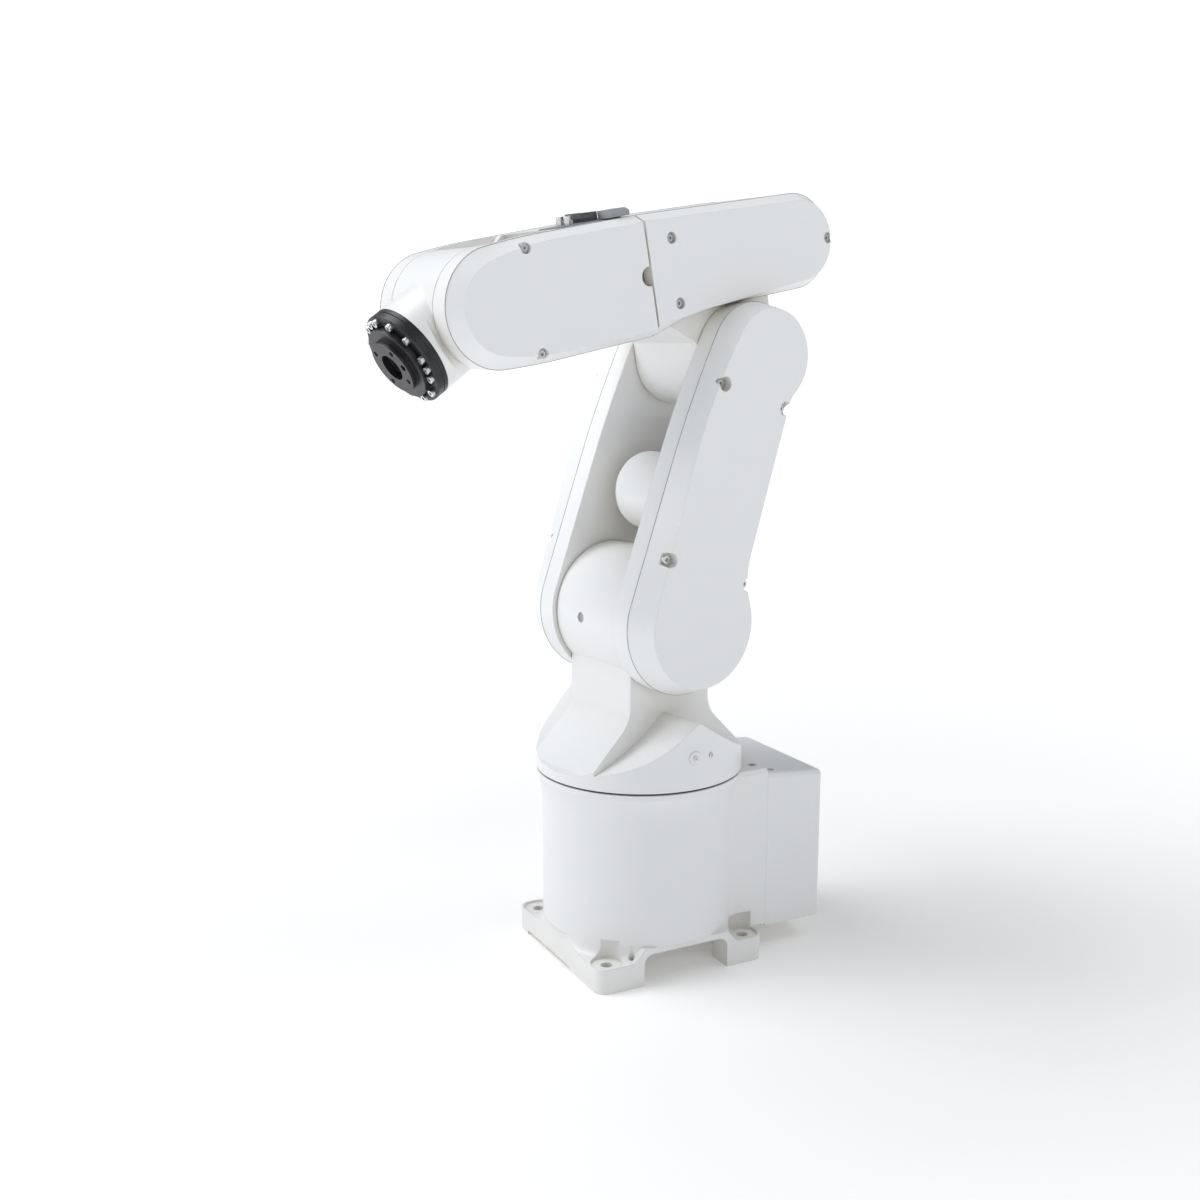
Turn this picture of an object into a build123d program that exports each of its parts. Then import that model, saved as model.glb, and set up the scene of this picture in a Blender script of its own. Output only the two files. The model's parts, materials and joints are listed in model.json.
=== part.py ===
from build123d import *
import math
import os

# Six-axis robot arm, in millimetres.
# Origin on the axis of the first joint, at the mounting face. +Z is up, +X is the robot's front.
# Each link is drawn in its own frame and set in place by the joint angles of the stored pose.

# Links of the arm
SHOULDER_HEIGHT = 280.0
ARM_LENGTH = 210.0
ELBOW_OFFSET = 75.0
FOREARM_LENGTH = 210.0
FLANGE_REACH = 70.0

# Joint angles of the stored pose, in degrees
TURN_ANGLE = 8.4
LEAN_ANGLE = -17.7
FOREARM_DROP = 10.9
WRIST_DROP = 23.9

# Clearances
SEAM_GAP = 1.6
SIDE_GAP = 1.0
WRIST_GAP = 0.6
SHELL_GAP = 0.05
SEAT_GAP = 0.15
RUNNING_GAP = 0.4
SHAFT_GAP = 1.5
SCREW_GAP = 0.15

# Screw heads and motors, as bought
COVER_HEAD_R = 3.2
COVER_HEAD_HEIGHT = 3.0
LID_HEAD_HEIGHT = 1.8
LID_SCREW_LENGTH = 12.0
SMALL_HEAD_R = 2.75
SMALL_HEAD_HEIGHT = 2.6
PANEL_HEAD_HEIGHT = 1.6
RING_HEAD_R = 2.7
RING_HEAD_HEIGHT = 2.8
J1_MOTOR = dict(square=58, length=66, flange_r=34, flange_thickness=5, shaft_r=7, shaft_length=14)
J2_MOTOR = dict(square=54, length=44, flange_r=34, flange_thickness=4, shaft_r=6, shaft_length=12)
J4_MOTOR = dict(square=40, length=92, flange_r=29, flange_thickness=4, shaft_r=4.5, shaft_length=12)
J6_MOTOR_SQ = 28.0
J6_MOTOR_LENGTH = 58.0

# Base
FOOT_LENGTH = 150.0
FOOT_CORNER = 9.0
FOOT_THICKNESS = 20.0
BOLT_SPACING = 124.0
BOLT_HOLE_R = 4.5
BOLT_SPOT_R = 12.4
BOLT_SCALLOP_TOP = 34.0
BOLT_SPOT_DEPTH = 2.0
DOWEL_HOLE_R = 2.5
DOWEL_X = 43.0
DOWEL_EDGE = 7.0
NOTCH_FRONT = 35.4
NOTCH_REAR = -40.0
NOTCH_HEIGHT = 25.0
NOTCH_CORNER = 8.0
BRIDGE_RISE = 10.0
BRIDGE_RAMP = 9.0
UNDERSIDE_HALF = 53.0
FRONT_RELIEF = 3.0
FRONT_RELIEF_SHIFT = -15.5
FRONT_RELIEF_WIDTH = 79.0
FRONT_RELIEF_DEPTH = 30.0
COLUMN_TOP_R = 83.0
COLUMN_FLARE = 4.5
COLUMN_R = COLUMN_TOP_R - COLUMN_FLARE
COLUMN_TOP = 153.7
COLUMN_COVE_HEIGHT = 22.0
COLUMN_RIM_HEIGHT = 4.0
COLUMN_FOOT_FILLET = 8.0
MOTOR_ROOM_R = 60.0
MOTOR_ROOM_FLOOR = 34.0
LEDGE_R = 50.0
LEDGE_DEPTH = 22.0

# Rear box
BOX_HALF_WIDTH = 57.0
BOX_REAR = -143.0
BOX_BOTTOM = 18.0
BOX_TOP_FRONT = 148.5
BOX_TOP_REAR = 143.8
BOX_FRONT = -88.0
BOX_EDGE = 4.5
BOX_CORNER = 6.0
BOX_WALL = 3.0
BOX_LUG = 12.0
BOX_SCREW_X = -97.0
BOX_SCREW_Y = 46.0
BOX_SCREW_SEAT = 144.0
WINDOW_HALF = 34.0
WINDOW_LOW = 45.0
WINDOW_HIGH = 110.0
SHOULDER_TOP = 152.5
SHOULDER_BLEND = 15.0
SHOULDER_EDGE = 3.0
SHOULDER_SCREW_Y = 42.0
SHOULDER_SCREW_OUT = 9.13
SHOULDER_SCREW_X = -math.sqrt((COLUMN_TOP_R + SHOULDER_SCREW_OUT) ** 2 - SHOULDER_SCREW_Y ** 2)
SHOULDER_SCREW_SINK = 1.6
PANEL_WIDTH = 92.0
PANEL_HEIGHT = 84.0
PANEL_CENTRE_Z = 84.0
PANEL_THICKNESS = 3.0

# Shoulder
TURNTABLE_RIM = 163.5
NECK_RIM = 160.0
NECK_HALF_WIDTH = 39.5
NECK_HALF_DEPTH = 38.5
NECK_FLARE_TOP = 203.5
NECK_FLARE_FILLET = 26.0
EAR_PEAK_X = 6.0
EAR_PEAK_Z = 208.0
EAR_FRONT_SAG = 5.0
EAR_REAR_SAG = 3.0
EAR_FILLET = 5.0
DRUM_R = 52.5
DRUM_ROOM_R = 42.0
DRUM_END_WALL = 7.0
PLUG_R = 4.0
PLUG_Y = -7.0
STOP_PAD_ANGLE = 83.5
STOP_PAD_Z = 180.5
STOP_PAD_R = 5.2
STOP_PAD_RISE = 0.8
STOP_SCREWS = [(0.0, 0.8), (10.7, 0.0)]

# Upper arm
PLATE_OUTER_Y = 58.0
COVER_FACE_Y = 80.0
ARM_LOW_R = 56.0
ARM_TOP_R = 41.0
ARM_BELLY = 51.5
ARM_BELLY_HEIGHT = 110.0
ARM_WAIST = 35.5
ARM_LOW_FILLET = 60.0
ARM_TOP_FILLET = 20.0
FACE_LOW_R = 47.5
FACE_TOP_R = 36.0
FACE_BELLY = 48.3
FACE_WAIST = 28.0
COVER_WALL = 3.5
WEB_FRONT = -22.0
WEB_TOP = 160.0
WEB_BOTTOM_FRONT = 60.0
WEB_BOTTOM_REAR = 69.0
DOME_X = 10.0
DOME_Z = 96.0
DOME_R = 31.0
DOME_END_Y = -26.0
DOME_ROUND = 13.0
RECESS_R = 5.5
COVER_SCREW_R = 1.7
SCREW_LUG_WALL = 2.5

# Elbow and forearm
BOSS_R = 38.5
YOKE_FLARE_Z = 18.0
YOKE_FLARE_X = 72.0
SKIN_Y = 46.0
SIDE_Y = 56.3
ELBOW_SEAM_X = 84.0
BARREL_NOSE_R = 41.5
BARREL_RISE = 1.8
FACE_NOSE_R = 32.0
FACE_RISE = 6.0
NOSE_BLEND = 45.0
WRIST_SWING = 120.0
SCOOP_MARGIN = 24.0
SCOOP_HALF_WIDTH = 36.0
BLOCK_REAR_X = -66.0
BLOCK_REAR_Z = 77.0
BLOCK_REAR_R = 36.0
BLOCK_FACE_R = 30.0
BLOCK_BELLY_X = 40.0
BLOCK_BELLY_Z = 42.3
BLOCK_FACE_TOP = 38.5
BLOCK_FACE_BOTTOM = 36.0
SMALL_RECESS_R = 4.2
SMALL_SCREW_R = 1.5
EDGE_NOTCH_R = 7.0
SIDE_WALL = 3.0

# Wrist
DRUM_HALF_WIDTH = 29.2
WRIST_R = 41.5
NOSE_R = 35.0
NOSE_END = 51.2
NOSE_FLARE_START = 42.5
RING_R = 34.9
RING_THICKNESS = 9.5
RING_GROOVE_AT = 3.2
RING_GROOVE_WIDTH = 0.8
RING_GROOVE_DEPTH = 0.7
RING_BORE_R = 22.5
RING_SPIGOT_R = 28.0
RING_SPIGOT_LENGTH = 9.0
RING_SCREW_CIRCLE_R = 30.6
RING_SCREW_R = 1.4
RING_SCREW_LENGTH = 13.5
DISC_R = 27.3
DISC_THICKNESS = 4.6
FLANGE_R = 20.0
FLANGE_BORE_R = 10.0
FLANGE_BORE_DEPTH = 6.0
FLANGE_BOLT_CIRCLE = 31.5
FLANGE_BOLT_HOLE_R = 2.1
FLANGE_BOLT_DEPTH = 7.5
FLANGE_DOWEL_R = 2.5

# Frames of the links
SHOULDER = Location((0, 0, 0), (0, 0, TURN_ANGLE))
UPPER_ARM = SHOULDER * Location((0, 0, SHOULDER_HEIGHT), (0, LEAN_ANGLE, 0))
FOREARM = UPPER_ARM * Location((0, 0, ARM_LENGTH), (0, FOREARM_DROP - LEAN_ANGLE, 0))
WRIST = FOREARM * Location((FOREARM_LENGTH, 0, ELBOW_OFFSET), (0, WRIST_DROP, 0))


# Basic forms

def slab(outline, y_low, y_high):
    """A side outline in X and Z, given a thickness from y_low to y_high."""
    return Pos(0, y_high, 0) * extrude(Plane.XZ * outline, amount=y_high - y_low)


def y_cylinder(radius, y_low, y_high, x=0.0, z=0.0):
    return slab(Pos(x, z) * Circle(radius), y_low, y_high)


def x_cylinder(radius, x_low, x_high, y=0.0, z=0.0):
    return Pos(x_low, 0, 0) * extrude(Plane.YZ * (Pos(y, z) * Circle(radius)), amount=x_high - x_low)


def z_cylinder(radius, z_low, z_high, x=0.0, y=0.0):
    return Pos(x, y, z_low) * extrude(Circle(radius), amount=z_high - z_low)


def block(low, high):
    size = [b - a for a, b in zip(low, high)]
    centre = [(a + b) / 2 for a, b in zip(low, high)]
    return Pos(*centre) * Box(*size)


def tapered_slab(inner_outline, outer_outline, y_inner, y_outer):
    """A cover whose edge slopes from one side outline to a smaller one."""
    inner = Pos(0, y_inner, 0) * (Plane.XZ * inner_outline)
    outer = Pos(0, y_outer, 0) * (Plane.XZ * outer_outline)
    return loft([inner.face(), outer.face()], ruled=True)


def other_side(shape):
    return mirror(shape, about=Plane.XZ)


# Bought-in parts

def cap_screw(thread_r, length, head_r, head_height):
    """Socket head screw along Z, its head seated on z = 0."""
    screw = z_cylinder(head_r, 0, head_height) + z_cylinder(thread_r, -length, 0)
    socket = extrude(RegularPolygon(head_r * 0.5, 6), amount=-head_height * 0.6)
    return screw - Pos(0, 0, head_height) * socket


def servo_motor(square, length, flange_r, flange_thickness, shaft_r, shaft_length):
    """Servo motor hanging below z = 0 by its round flange, with the shaft pointing up."""
    corner = square * 0.16
    can = extrude(RectangleRounded(square, square, corner), amount=-length * 0.68)
    encoder = extrude(RectangleRounded(square * 0.86, square * 0.86, corner), amount=-length * 0.32)
    motor = Pos(0, 0, -flange_thickness) * can
    motor += Pos(0, 0, -flange_thickness - length * 0.68) * encoder
    motor += z_cylinder(flange_r, -flange_thickness, 0)
    motor += z_cylinder(shaft_r, 0, shaft_length)
    return motor


def reducer_ring(body_r, flange_r, flange_thickness, bore_r, height, plate, shaft_r):
    """Fixed half of a strain wave drive: toothed ring, bearing race and motor plate, below z = 0."""
    ring = z_cylinder(body_r, -height, 0) + z_cylinder(flange_r, -flange_thickness, 0)
    ring -= z_cylinder(bore_r, -height + plate, 0)
    return ring - z_cylinder(shaft_r, -height, -height + plate)


def output_hub(bore_r, depth, reach, shaft_r, shaft_depth):
    """Turning half of a strain wave drive: output cup, standing in the ring and up to its link."""
    hub = z_cylinder(bore_r - RUNNING_GAP, -depth, reach)
    return hub - z_cylinder(shaft_r + SHAFT_GAP, -depth, -depth + shaft_depth)


def toothed_pulley(radius, width, teeth, bore_r):
    """Timing belt pulley along Z, from z = 0, with a flange on each side."""
    flange = width * 0.12
    wheel = z_cylinder(radius, 0, width)
    groove = z_cylinder(0.75, flange, width - flange, x=radius)
    wheel -= [Rot(0, 0, 360 * i / teeth) * groove for i in range(teeth)]
    wheel += z_cylinder(radius + 1.0, 0, flange)
    wheel += z_cylinder(radius + 1.0, width - flange, width)
    return wheel - z_cylinder(bore_r, 0, width)


def timing_belt(start, end, start_r, end_r, thickness, width):
    """Belt round two pulleys, drawn flat in X and Y from z = 0."""
    outer = make_hull((Pos(*start) * Circle(start_r + thickness)).edges()
                      + (Pos(*end) * Circle(end_r + thickness)).edges())
    inner = make_hull((Pos(*start) * Circle(start_r)).edges() + (Pos(*end) * Circle(end_r)).edges())
    return extrude(outer - inner, amount=width)


def bearing_race(outer_r, inner_r, width):
    race = z_cylinder(outer_r, 0, width) - z_cylinder(inner_r, 0, width)
    return race


# Base

FOOT_HALF = FOOT_LENGTH / 2
BRIDGE_TOP = FOOT_THICKNESS + BRIDGE_RISE
BOLT_HALF = BOLT_SPACING / 2
TURNTABLE_BOTTOM = COLUMN_TOP + SEAM_GAP
CORNERS = [(sx, sy) for sx in (1, -1) for sy in (1, -1)]


def column_section():
    """Half section of the round column: coved rim, motor room and the ledge for the reducer."""
    rim = COLUMN_TOP - COLUMN_RIM_HEIGHT
    cove = rim - COLUMN_COVE_HEIGHT
    flare = COLUMN_TOP_R - COLUMN_R
    cove_r = (COLUMN_COVE_HEIGHT ** 2 + flare ** 2) / (2 * flare)
    cove_angle = math.degrees(math.asin(COLUMN_COVE_HEIGHT / cove_r))
    ledge = COLUMN_TOP - LEDGE_DEPTH
    with BuildSketch() as section:
        with BuildLine():
            root = JernArc((COLUMN_R + COLUMN_FOOT_FILLET, FOOT_THICKNESS), (-1, 0), COLUMN_FOOT_FILLET, -90)
            wall = Line(root @ 1, (COLUMN_R, cove))
            sweep_out = JernArc(wall @ 1, (0, 1), cove_r, -cove_angle)
            Polyline(sweep_out @ 1, (COLUMN_TOP_R, COLUMN_TOP), (LEDGE_R + 6.0, COLUMN_TOP),
                     (LEDGE_R + 6.0, COLUMN_TOP - 5.0), (LEDGE_R, COLUMN_TOP - 5.0), (LEDGE_R, ledge),
                     (MOTOR_ROOM_R, ledge - 10.0), (MOTOR_ROOM_R, MOTOR_ROOM_FLOOR),
                     (0, MOTOR_ROOM_FLOOR), (0, FOOT_THICKNESS), root @ 0)
        make_face()
    return section.sketch


def foot():
    """Square foot on four legs, with a raised bridge over the notch on each side."""
    plate = extrude(RectangleRounded(FOOT_LENGTH, FOOT_LENGTH, FOOT_CORNER), amount=FOOT_THICKNESS)
    front = NOTCH_FRONT + BRIDGE_RAMP
    rear = NOTCH_REAR - BRIDGE_RAMP
    bridge = Polygon((front + BRIDGE_RAMP, 0), (front, FOOT_THICKNESS), (NOTCH_FRONT, BRIDGE_TOP),
                     (NOTCH_REAR, BRIDGE_TOP), (rear, FOOT_THICKNESS), (rear - BRIDGE_RAMP, 0),
                     align=None)
    return plate + slab(bridge, -FOOT_HALF, FOOT_HALF)


def underside():
    """Cutters for the notch across the foot, the hollow between its legs and the relief at the front."""
    notch_centre = (NOTCH_FRONT + NOTCH_REAR) / 2
    notch_length = NOTCH_FRONT - NOTCH_REAR
    notch = Pos(notch_centre, 0) * RectangleRounded(notch_length, 2 * NOTCH_HEIGHT, NOTCH_CORNER)
    hollow = RectangleRounded(2 * UNDERSIDE_HALF, 2 * UNDERSIDE_HALF, FOOT_CORNER)
    relief = block((FOOT_HALF - FRONT_RELIEF_DEPTH, FRONT_RELIEF_SHIFT - FRONT_RELIEF_WIDTH / 2, -1),
                   (FOOT_HALF + 1, FRONT_RELIEF_SHIFT + FRONT_RELIEF_WIDTH / 2, FRONT_RELIEF))
    return [slab(notch, -FOOT_HALF - 1, FOOT_HALF + 1), extrude(hollow, amount=NOTCH_HEIGHT), relief]


def bolt_holes():
    cutters = []
    for sx, sy in CORNERS:
        x = sx * BOLT_HALF
        y = sy * BOLT_HALF
        cutters.append(z_cylinder(BOLT_HOLE_R, 0, FOOT_THICKNESS, x, y))
        cutters.append(z_cylinder(BOLT_SPOT_R, FOOT_THICKNESS - BOLT_SPOT_DEPTH, BOLT_SCALLOP_TOP, x, y))
    cutters.append(z_cylinder(DOWEL_HOLE_R, 0, BRIDGE_TOP + 1, DOWEL_X, FOOT_HALF - DOWEL_EDGE))
    return cutters


def box_shoulder():
    """Square shoulder behind the column, blended into it, that carries the wiring box."""
    plan = Circle(COLUMN_R) + Pos(BOX_FRONT / 2, 0) * Rectangle(-BOX_FRONT, 2 * BOX_HALF_WIDTH)
    roots = [v for v in plan.vertices() if abs(v.X) < COLUMN_R - 1 and abs(v.Y) > BOX_HALF_WIDTH - 1]
    plan = fillet([v for v in roots if v.X < 0], SHOULDER_BLEND)
    front = Pos(COLUMN_R - 40, 0) * Rectangle(2 * COLUMN_R, 2 * COLUMN_R)
    shoulder = Pos(0, 0, FOOT_THICKNESS) * extrude(plan - front, amount=SHOULDER_TOP - FOOT_THICKNESS)
    sides = [e for e in shoulder.edges().filter_by(Axis.X) if abs(e.center().Y) > BOX_HALF_WIDTH - 1]
    shoulder = chamfer([e for e in sides if e.center().Z > SHOULDER_TOP - 1], SHOULDER_EDGE)
    seat = SHOULDER_TOP - SHOULDER_SCREW_SINK
    for sy in (1, -1):
        y = sy * SHOULDER_SCREW_Y
        shoulder -= z_cylinder(COVER_SCREW_R + SCREW_GAP, seat - 14, SHOULDER_TOP, SHOULDER_SCREW_X, y)
        shoulder -= z_cylinder(COVER_HEAD_R + SCREW_GAP, seat, SHOULDER_TOP + 1, SHOULDER_SCREW_X, y)
    shoulder -= z_cylinder(MOTOR_ROOM_R + 2, FOOT_THICKNESS, SHOULDER_TOP)
    return shoulder - block((BOX_FRONT - 1, -WINDOW_HALF, WINDOW_LOW),
                            (-MOTOR_ROOM_R * 0.75, WINDOW_HALF, WINDOW_HIGH))


def beyond_foot():
    """Room in front of the foot and beside it that the column stays out of, up to the bridges' top."""
    reach = COLUMN_R + COLUMN_FOOT_FILLET + 1.0
    around = Pos(reach / 2, 0) * Rectangle(3 * reach, 2 * reach)
    kept = Pos(-reach / 2, 0) * Rectangle(FOOT_LENGTH + reach, FOOT_LENGTH)
    return Pos(0, 0, NOTCH_HEIGHT - 10) * extrude(around - kept, amount=BRIDGE_TOP - NOTCH_HEIGHT + 10)


def base_casting():
    column = revolve(Plane.XZ * column_section(), Axis.Z) - beyond_foot()
    column -= block((-COLUMN_R - 1, -WINDOW_HALF, WINDOW_LOW),
                    (-MOTOR_ROOM_R * 0.75, WINDOW_HALF, WINDOW_HIGH))
    casting = foot() + column + box_shoulder()
    return casting - underside() - bolt_holes()


def box_profile(wall):
    """Side view of the wiring box, with its lid sloping down to the rear."""
    return Polygon((BOX_FRONT, BOX_BOTTOM + wall), (BOX_FRONT, BOX_TOP_FRONT - wall),
                   (BOX_REAR + wall, BOX_TOP_REAR - wall), (BOX_REAR + wall, BOX_BOTTOM + wall), align=None)


def rear_box_cover():
    """Cover of the wiring box: a shell open towards the column, with a window for the panel."""
    cover = slab(box_profile(0), -BOX_HALF_WIDTH, BOX_HALF_WIDTH)
    rear = cover.faces().sort_by(Axis.X)[0]
    upright = rear.edges().filter_by(Axis.Z)
    cover = fillet(upright, BOX_CORNER)
    lid = cover.faces().sort_by(Axis.Z)[-1]
    rim = [e for e in lid.edges() if e.center().X < BOX_FRONT - 1]
    cover = fillet(rim, BOX_EDGE)
    cover -= slab(box_profile(BOX_WALL), BOX_WALL - BOX_HALF_WIDTH, BOX_HALF_WIDTH - BOX_WALL)
    for sy in (1, -1):
        lug = z_cylinder(BOX_LUG / 2, 110, BOX_TOP_REAR - BOX_WALL, BOX_SCREW_X, sy * BOX_SCREW_Y)
        lug += block((BOX_SCREW_X - BOX_LUG / 2, sy * (BOX_SCREW_Y + 5) - 4, 110),
                     (BOX_SCREW_X + BOX_LUG / 2, sy * (BOX_SCREW_Y + 5) + 4, BOX_TOP_REAR - BOX_WALL))
        cover += lug
        cover -= z_cylinder(COVER_SCREW_R + SCREW_GAP, 125, BOX_SCREW_SEAT, BOX_SCREW_X, sy * BOX_SCREW_Y)
        cover -= z_cylinder(COVER_HEAD_R + 2 * SCREW_GAP, BOX_SCREW_SEAT, BOX_TOP_FRONT + 1, BOX_SCREW_X,
                            sy * BOX_SCREW_Y)
    cover -= block((BOX_REAR, -PANEL_WIDTH / 2 + 8, PANEL_CENTRE_Z - PANEL_HEIGHT / 2 + 8),
                   (BOX_REAR + BOX_WALL, PANEL_WIDTH / 2 - 8, PANEL_CENTRE_Z + PANEL_HEIGHT / 2 - 8))
    for y, z in PANEL_SCREWS:
        cover -= rear_facing(z_cylinder(COVER_SCREW_R, -BOX_WALL, 0), y, z, BOX_REAR)
    return cover


PANEL_FACE = BOX_REAR - PANEL_THICKNESS
PANEL_SCREWS = [(sy * (PANEL_WIDTH / 2 - 4), PANEL_CENTRE_Z + sz * (PANEL_HEIGHT / 2 - 4))
                for sy, sz in CORNERS]
MAIN_PLUG = (-14.0, 98.0)
SIGNAL_PLUG = (-20.0, 62.0)
AIR_PORTS = [(24.0, 66.0), (24.0, 86.0), (24.0, 106.0)]


def rear_facing(shape, y, z, x=PANEL_FACE):
    """Turn a shape drawn along Z so that it points out of the back, at height z."""
    return Location((x, y, z), (0, -90, 0)) * shape


def connector_panel():
    plate = extrude(RectangleRounded(PANEL_HEIGHT, PANEL_WIDTH, 4), amount=-PANEL_THICKNESS)
    panel = rear_facing(plate, 0, PANEL_CENTRE_Z)
    for y, z in PANEL_SCREWS:
        panel -= rear_facing(z_cylinder(1.7, -PANEL_THICKNESS, 0), y, z)
    return panel


def main_connector():
    """Shrouded multi-pole socket for the motor and encoder cable, with a locking lever on each side."""
    shell = extrude(RectangleRounded(26, 52, 3), amount=13)
    shell -= Pos(0, 0, 3) * extrude(RectangleRounded(20, 46, 2), amount=10)
    shell += Pos(0, 0, 3) * extrude(RectangleRounded(12, 38, 2), amount=6)
    for sy in (1, -1):
        shell += block((-9, sy * 29 - 3, 0), (9, sy * 29 + 3, 5))
    return rear_facing(shell, *MAIN_PLUG)


def signal_connector():
    """Round screw-ring socket for the tool signals."""
    body = extrude(RectangleRounded(22, 22, 3), amount=3) + z_cylinder(9, 3, 12)
    body -= z_cylinder(7.4, 5, 12)
    body += z_cylinder(5.6, 5, 9)
    return rear_facing(body, *SIGNAL_PLUG)


def air_fitting():
    fitting = extrude(RegularPolygon(6.0, 6), amount=6) + z_cylinder(4.8, 6, 12)
    return fitting - z_cylinder(3.1, 4, 12)


def air_fittings():
    return [rear_facing(air_fitting(), y, z) for y, z in AIR_PORTS]


def rear_box_screws():
    lid = cap_screw(COVER_SCREW_R, LID_SCREW_LENGTH, COVER_HEAD_R, LID_HEAD_HEIGHT)
    small = cap_screw(SMALL_SCREW_R, PANEL_THICKNESS + 2, SMALL_HEAD_R, PANEL_HEAD_HEIGHT)
    screws = [Pos(BOX_SCREW_X, sy * BOX_SCREW_Y, BOX_SCREW_SEAT) * lid for sy in (1, -1)]
    seat = SHOULDER_TOP - SHOULDER_SCREW_SINK
    screws += [Pos(SHOULDER_SCREW_X, sy * SHOULDER_SCREW_Y, seat) * lid for sy in (1, -1)]
    screws += [rear_facing(small, y, z) for y, z in PANEL_SCREWS]
    return screws


# First joint

J1_RING_H = LEDGE_DEPTH - 2
J1_BORE_R = LEDGE_R - 12


def j1_reducer_ring():
    ring = reducer_ring(LEDGE_R - SEAT_GAP, LEDGE_R + 6 - SEAT_GAP, 4.7, J1_BORE_R, J1_RING_H, 4, 8.5)
    return Pos(0, 0, COLUMN_TOP - 0.3) * ring


def j1_motor():
    return Pos(0, 0, COLUMN_TOP - 0.3 - J1_RING_H) * servo_motor(**J1_MOTOR)


def j1_output_hub():
    hub = output_hub(J1_BORE_R, J1_RING_H - 6, SEAM_GAP + 0.3, 10, 8)
    return Pos(0, 0, COLUMN_TOP - 0.3) * hub


# Shoulder

DRUM_Z = SHOULDER_HEIGHT
J2_RING_H = 18.0
J2_FLANGE_R = 47.0
J2_FLANGE_T = 5.0
J2_BORE_R = 31.0
ARM_INNER_Y = NECK_HALF_WIDTH + SIDE_GAP
FAR_BEARING_R = 20.0
FAR_BEARING_WIDTH = 6.5
STUB_R = 10.0


def neck_outline():
    """Side view of the neck: straight waist and a flare down to the turntable rim."""
    shape = Polygon((COLUMN_TOP_R, TURNTABLE_BOTTOM), (COLUMN_TOP_R, NECK_RIM),
                    (NECK_HALF_DEPTH, NECK_FLARE_TOP), (NECK_HALF_DEPTH, DRUM_Z),
                    (-NECK_HALF_DEPTH, DRUM_Z), (-NECK_HALF_DEPTH, NECK_FLARE_TOP),
                    (-COLUMN_TOP_R, NECK_RIM), (-COLUMN_TOP_R, TURNTABLE_BOTTOM), align=None)
    hips = [v for v in shape.vertices() if abs(v.Y - NECK_FLARE_TOP) < 0.01]
    return fillet(hips, NECK_FLARE_FILLET)


def ear_outline():
    """Side view of the turntable's ears: two hollow slopes that meet in a rounded ridge."""
    front = ((COLUMN_TOP_R + EAR_PEAK_X) / 2 - EAR_FRONT_SAG * 0.4,
             (TURNTABLE_RIM + EAR_PEAK_Z) / 2 - EAR_FRONT_SAG)
    rear = ((EAR_PEAK_X - COLUMN_TOP_R) / 2 + EAR_REAR_SAG * 0.4,
            (TURNTABLE_RIM + EAR_PEAK_Z) / 2 - EAR_REAR_SAG)
    with BuildSketch() as ear:
        with BuildLine():
            Polyline((-COLUMN_TOP_R, TURNTABLE_RIM), (-COLUMN_TOP_R, TURNTABLE_BOTTOM),
                     (COLUMN_TOP_R, TURNTABLE_BOTTOM), (COLUMN_TOP_R, TURNTABLE_RIM))
            ThreePointArc((COLUMN_TOP_R, TURNTABLE_RIM), front, (EAR_PEAK_X, EAR_PEAK_Z))
            ThreePointArc((EAR_PEAK_X, EAR_PEAK_Z), rear, (-COLUMN_TOP_R, TURNTABLE_RIM))
        make_face()
        fillet(ear.vertices().sort_by(Axis.Y)[-1], EAR_FILLET)
    return ear.sketch


def stop_pad_place():
    return Location((0, 0, STOP_PAD_Z), (0, 0, STOP_PAD_ANGLE)) * Location((COLUMN_TOP_R, 0, 0), (0, 90, 0))


def shoulder_casting():
    envelope = z_cylinder(COLUMN_TOP_R, TURNTABLE_BOTTOM, DRUM_Z)
    casting = slab(neck_outline(), -NECK_HALF_WIDTH, NECK_HALF_WIDTH)
    casting += slab(ear_outline(), -COLUMN_TOP_R, COLUMN_TOP_R)
    casting = casting & envelope
    casting += y_cylinder(DRUM_R, -NECK_HALF_WIDTH, NECK_HALF_WIDTH, 0, DRUM_Z)
    room_end = -NECK_HALF_WIDTH + DRUM_END_WALL
    casting -= y_cylinder(DRUM_ROOM_R, room_end, NECK_HALF_WIDTH, 0, DRUM_Z)
    casting -= y_cylinder(J2_FLANGE_R, NECK_HALF_WIDTH - J2_FLANGE_T, NECK_HALF_WIDTH, 0, DRUM_Z)
    casting -= y_cylinder(FAR_BEARING_R, -NECK_HALF_WIDTH, room_end, 0, DRUM_Z)
    casting -= x_cylinder(PLUG_R, DRUM_ROOM_R - 2, DRUM_R + 1, PLUG_Y, DRUM_Z)
    pad = stop_pad_place() * Pos(0, 0, -2) * extrude(Circle(STOP_PAD_R), amount=2 + STOP_PAD_RISE)
    casting += pad
    for angle, seat in STOP_SCREWS:
        hole = z_cylinder(1.2 + SCREW_GAP, seat - 8, seat + 2)
        casting -= Rot(0, 0, angle) * stop_pad_place() * hole
    return casting


def drum_plug():
    plug = x_cylinder(PLUG_R - SEAT_GAP, DRUM_R - 8, DRUM_R - 1.2, PLUG_Y, DRUM_Z)
    return plug


def stop_screws():
    screw = cap_screw(1.2, 6, 1.9, 0.9)
    return [Rot(0, 0, angle) * stop_pad_place() * Pos(0, 0, seat) * screw for angle, seat in STOP_SCREWS]


def facing_left(shape, y, x=0.0, z=0.0):
    """Turn a shape drawn along Z so that it points towards +Y."""
    return Location((x, y, z), (-90, 0, 0)) * shape


def facing_right(shape, y, x=0.0, z=0.0):
    """Turn a shape drawn along Z so that it points towards -Y."""
    return Location((x, y, z), (90, 0, 0)) * shape


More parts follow.
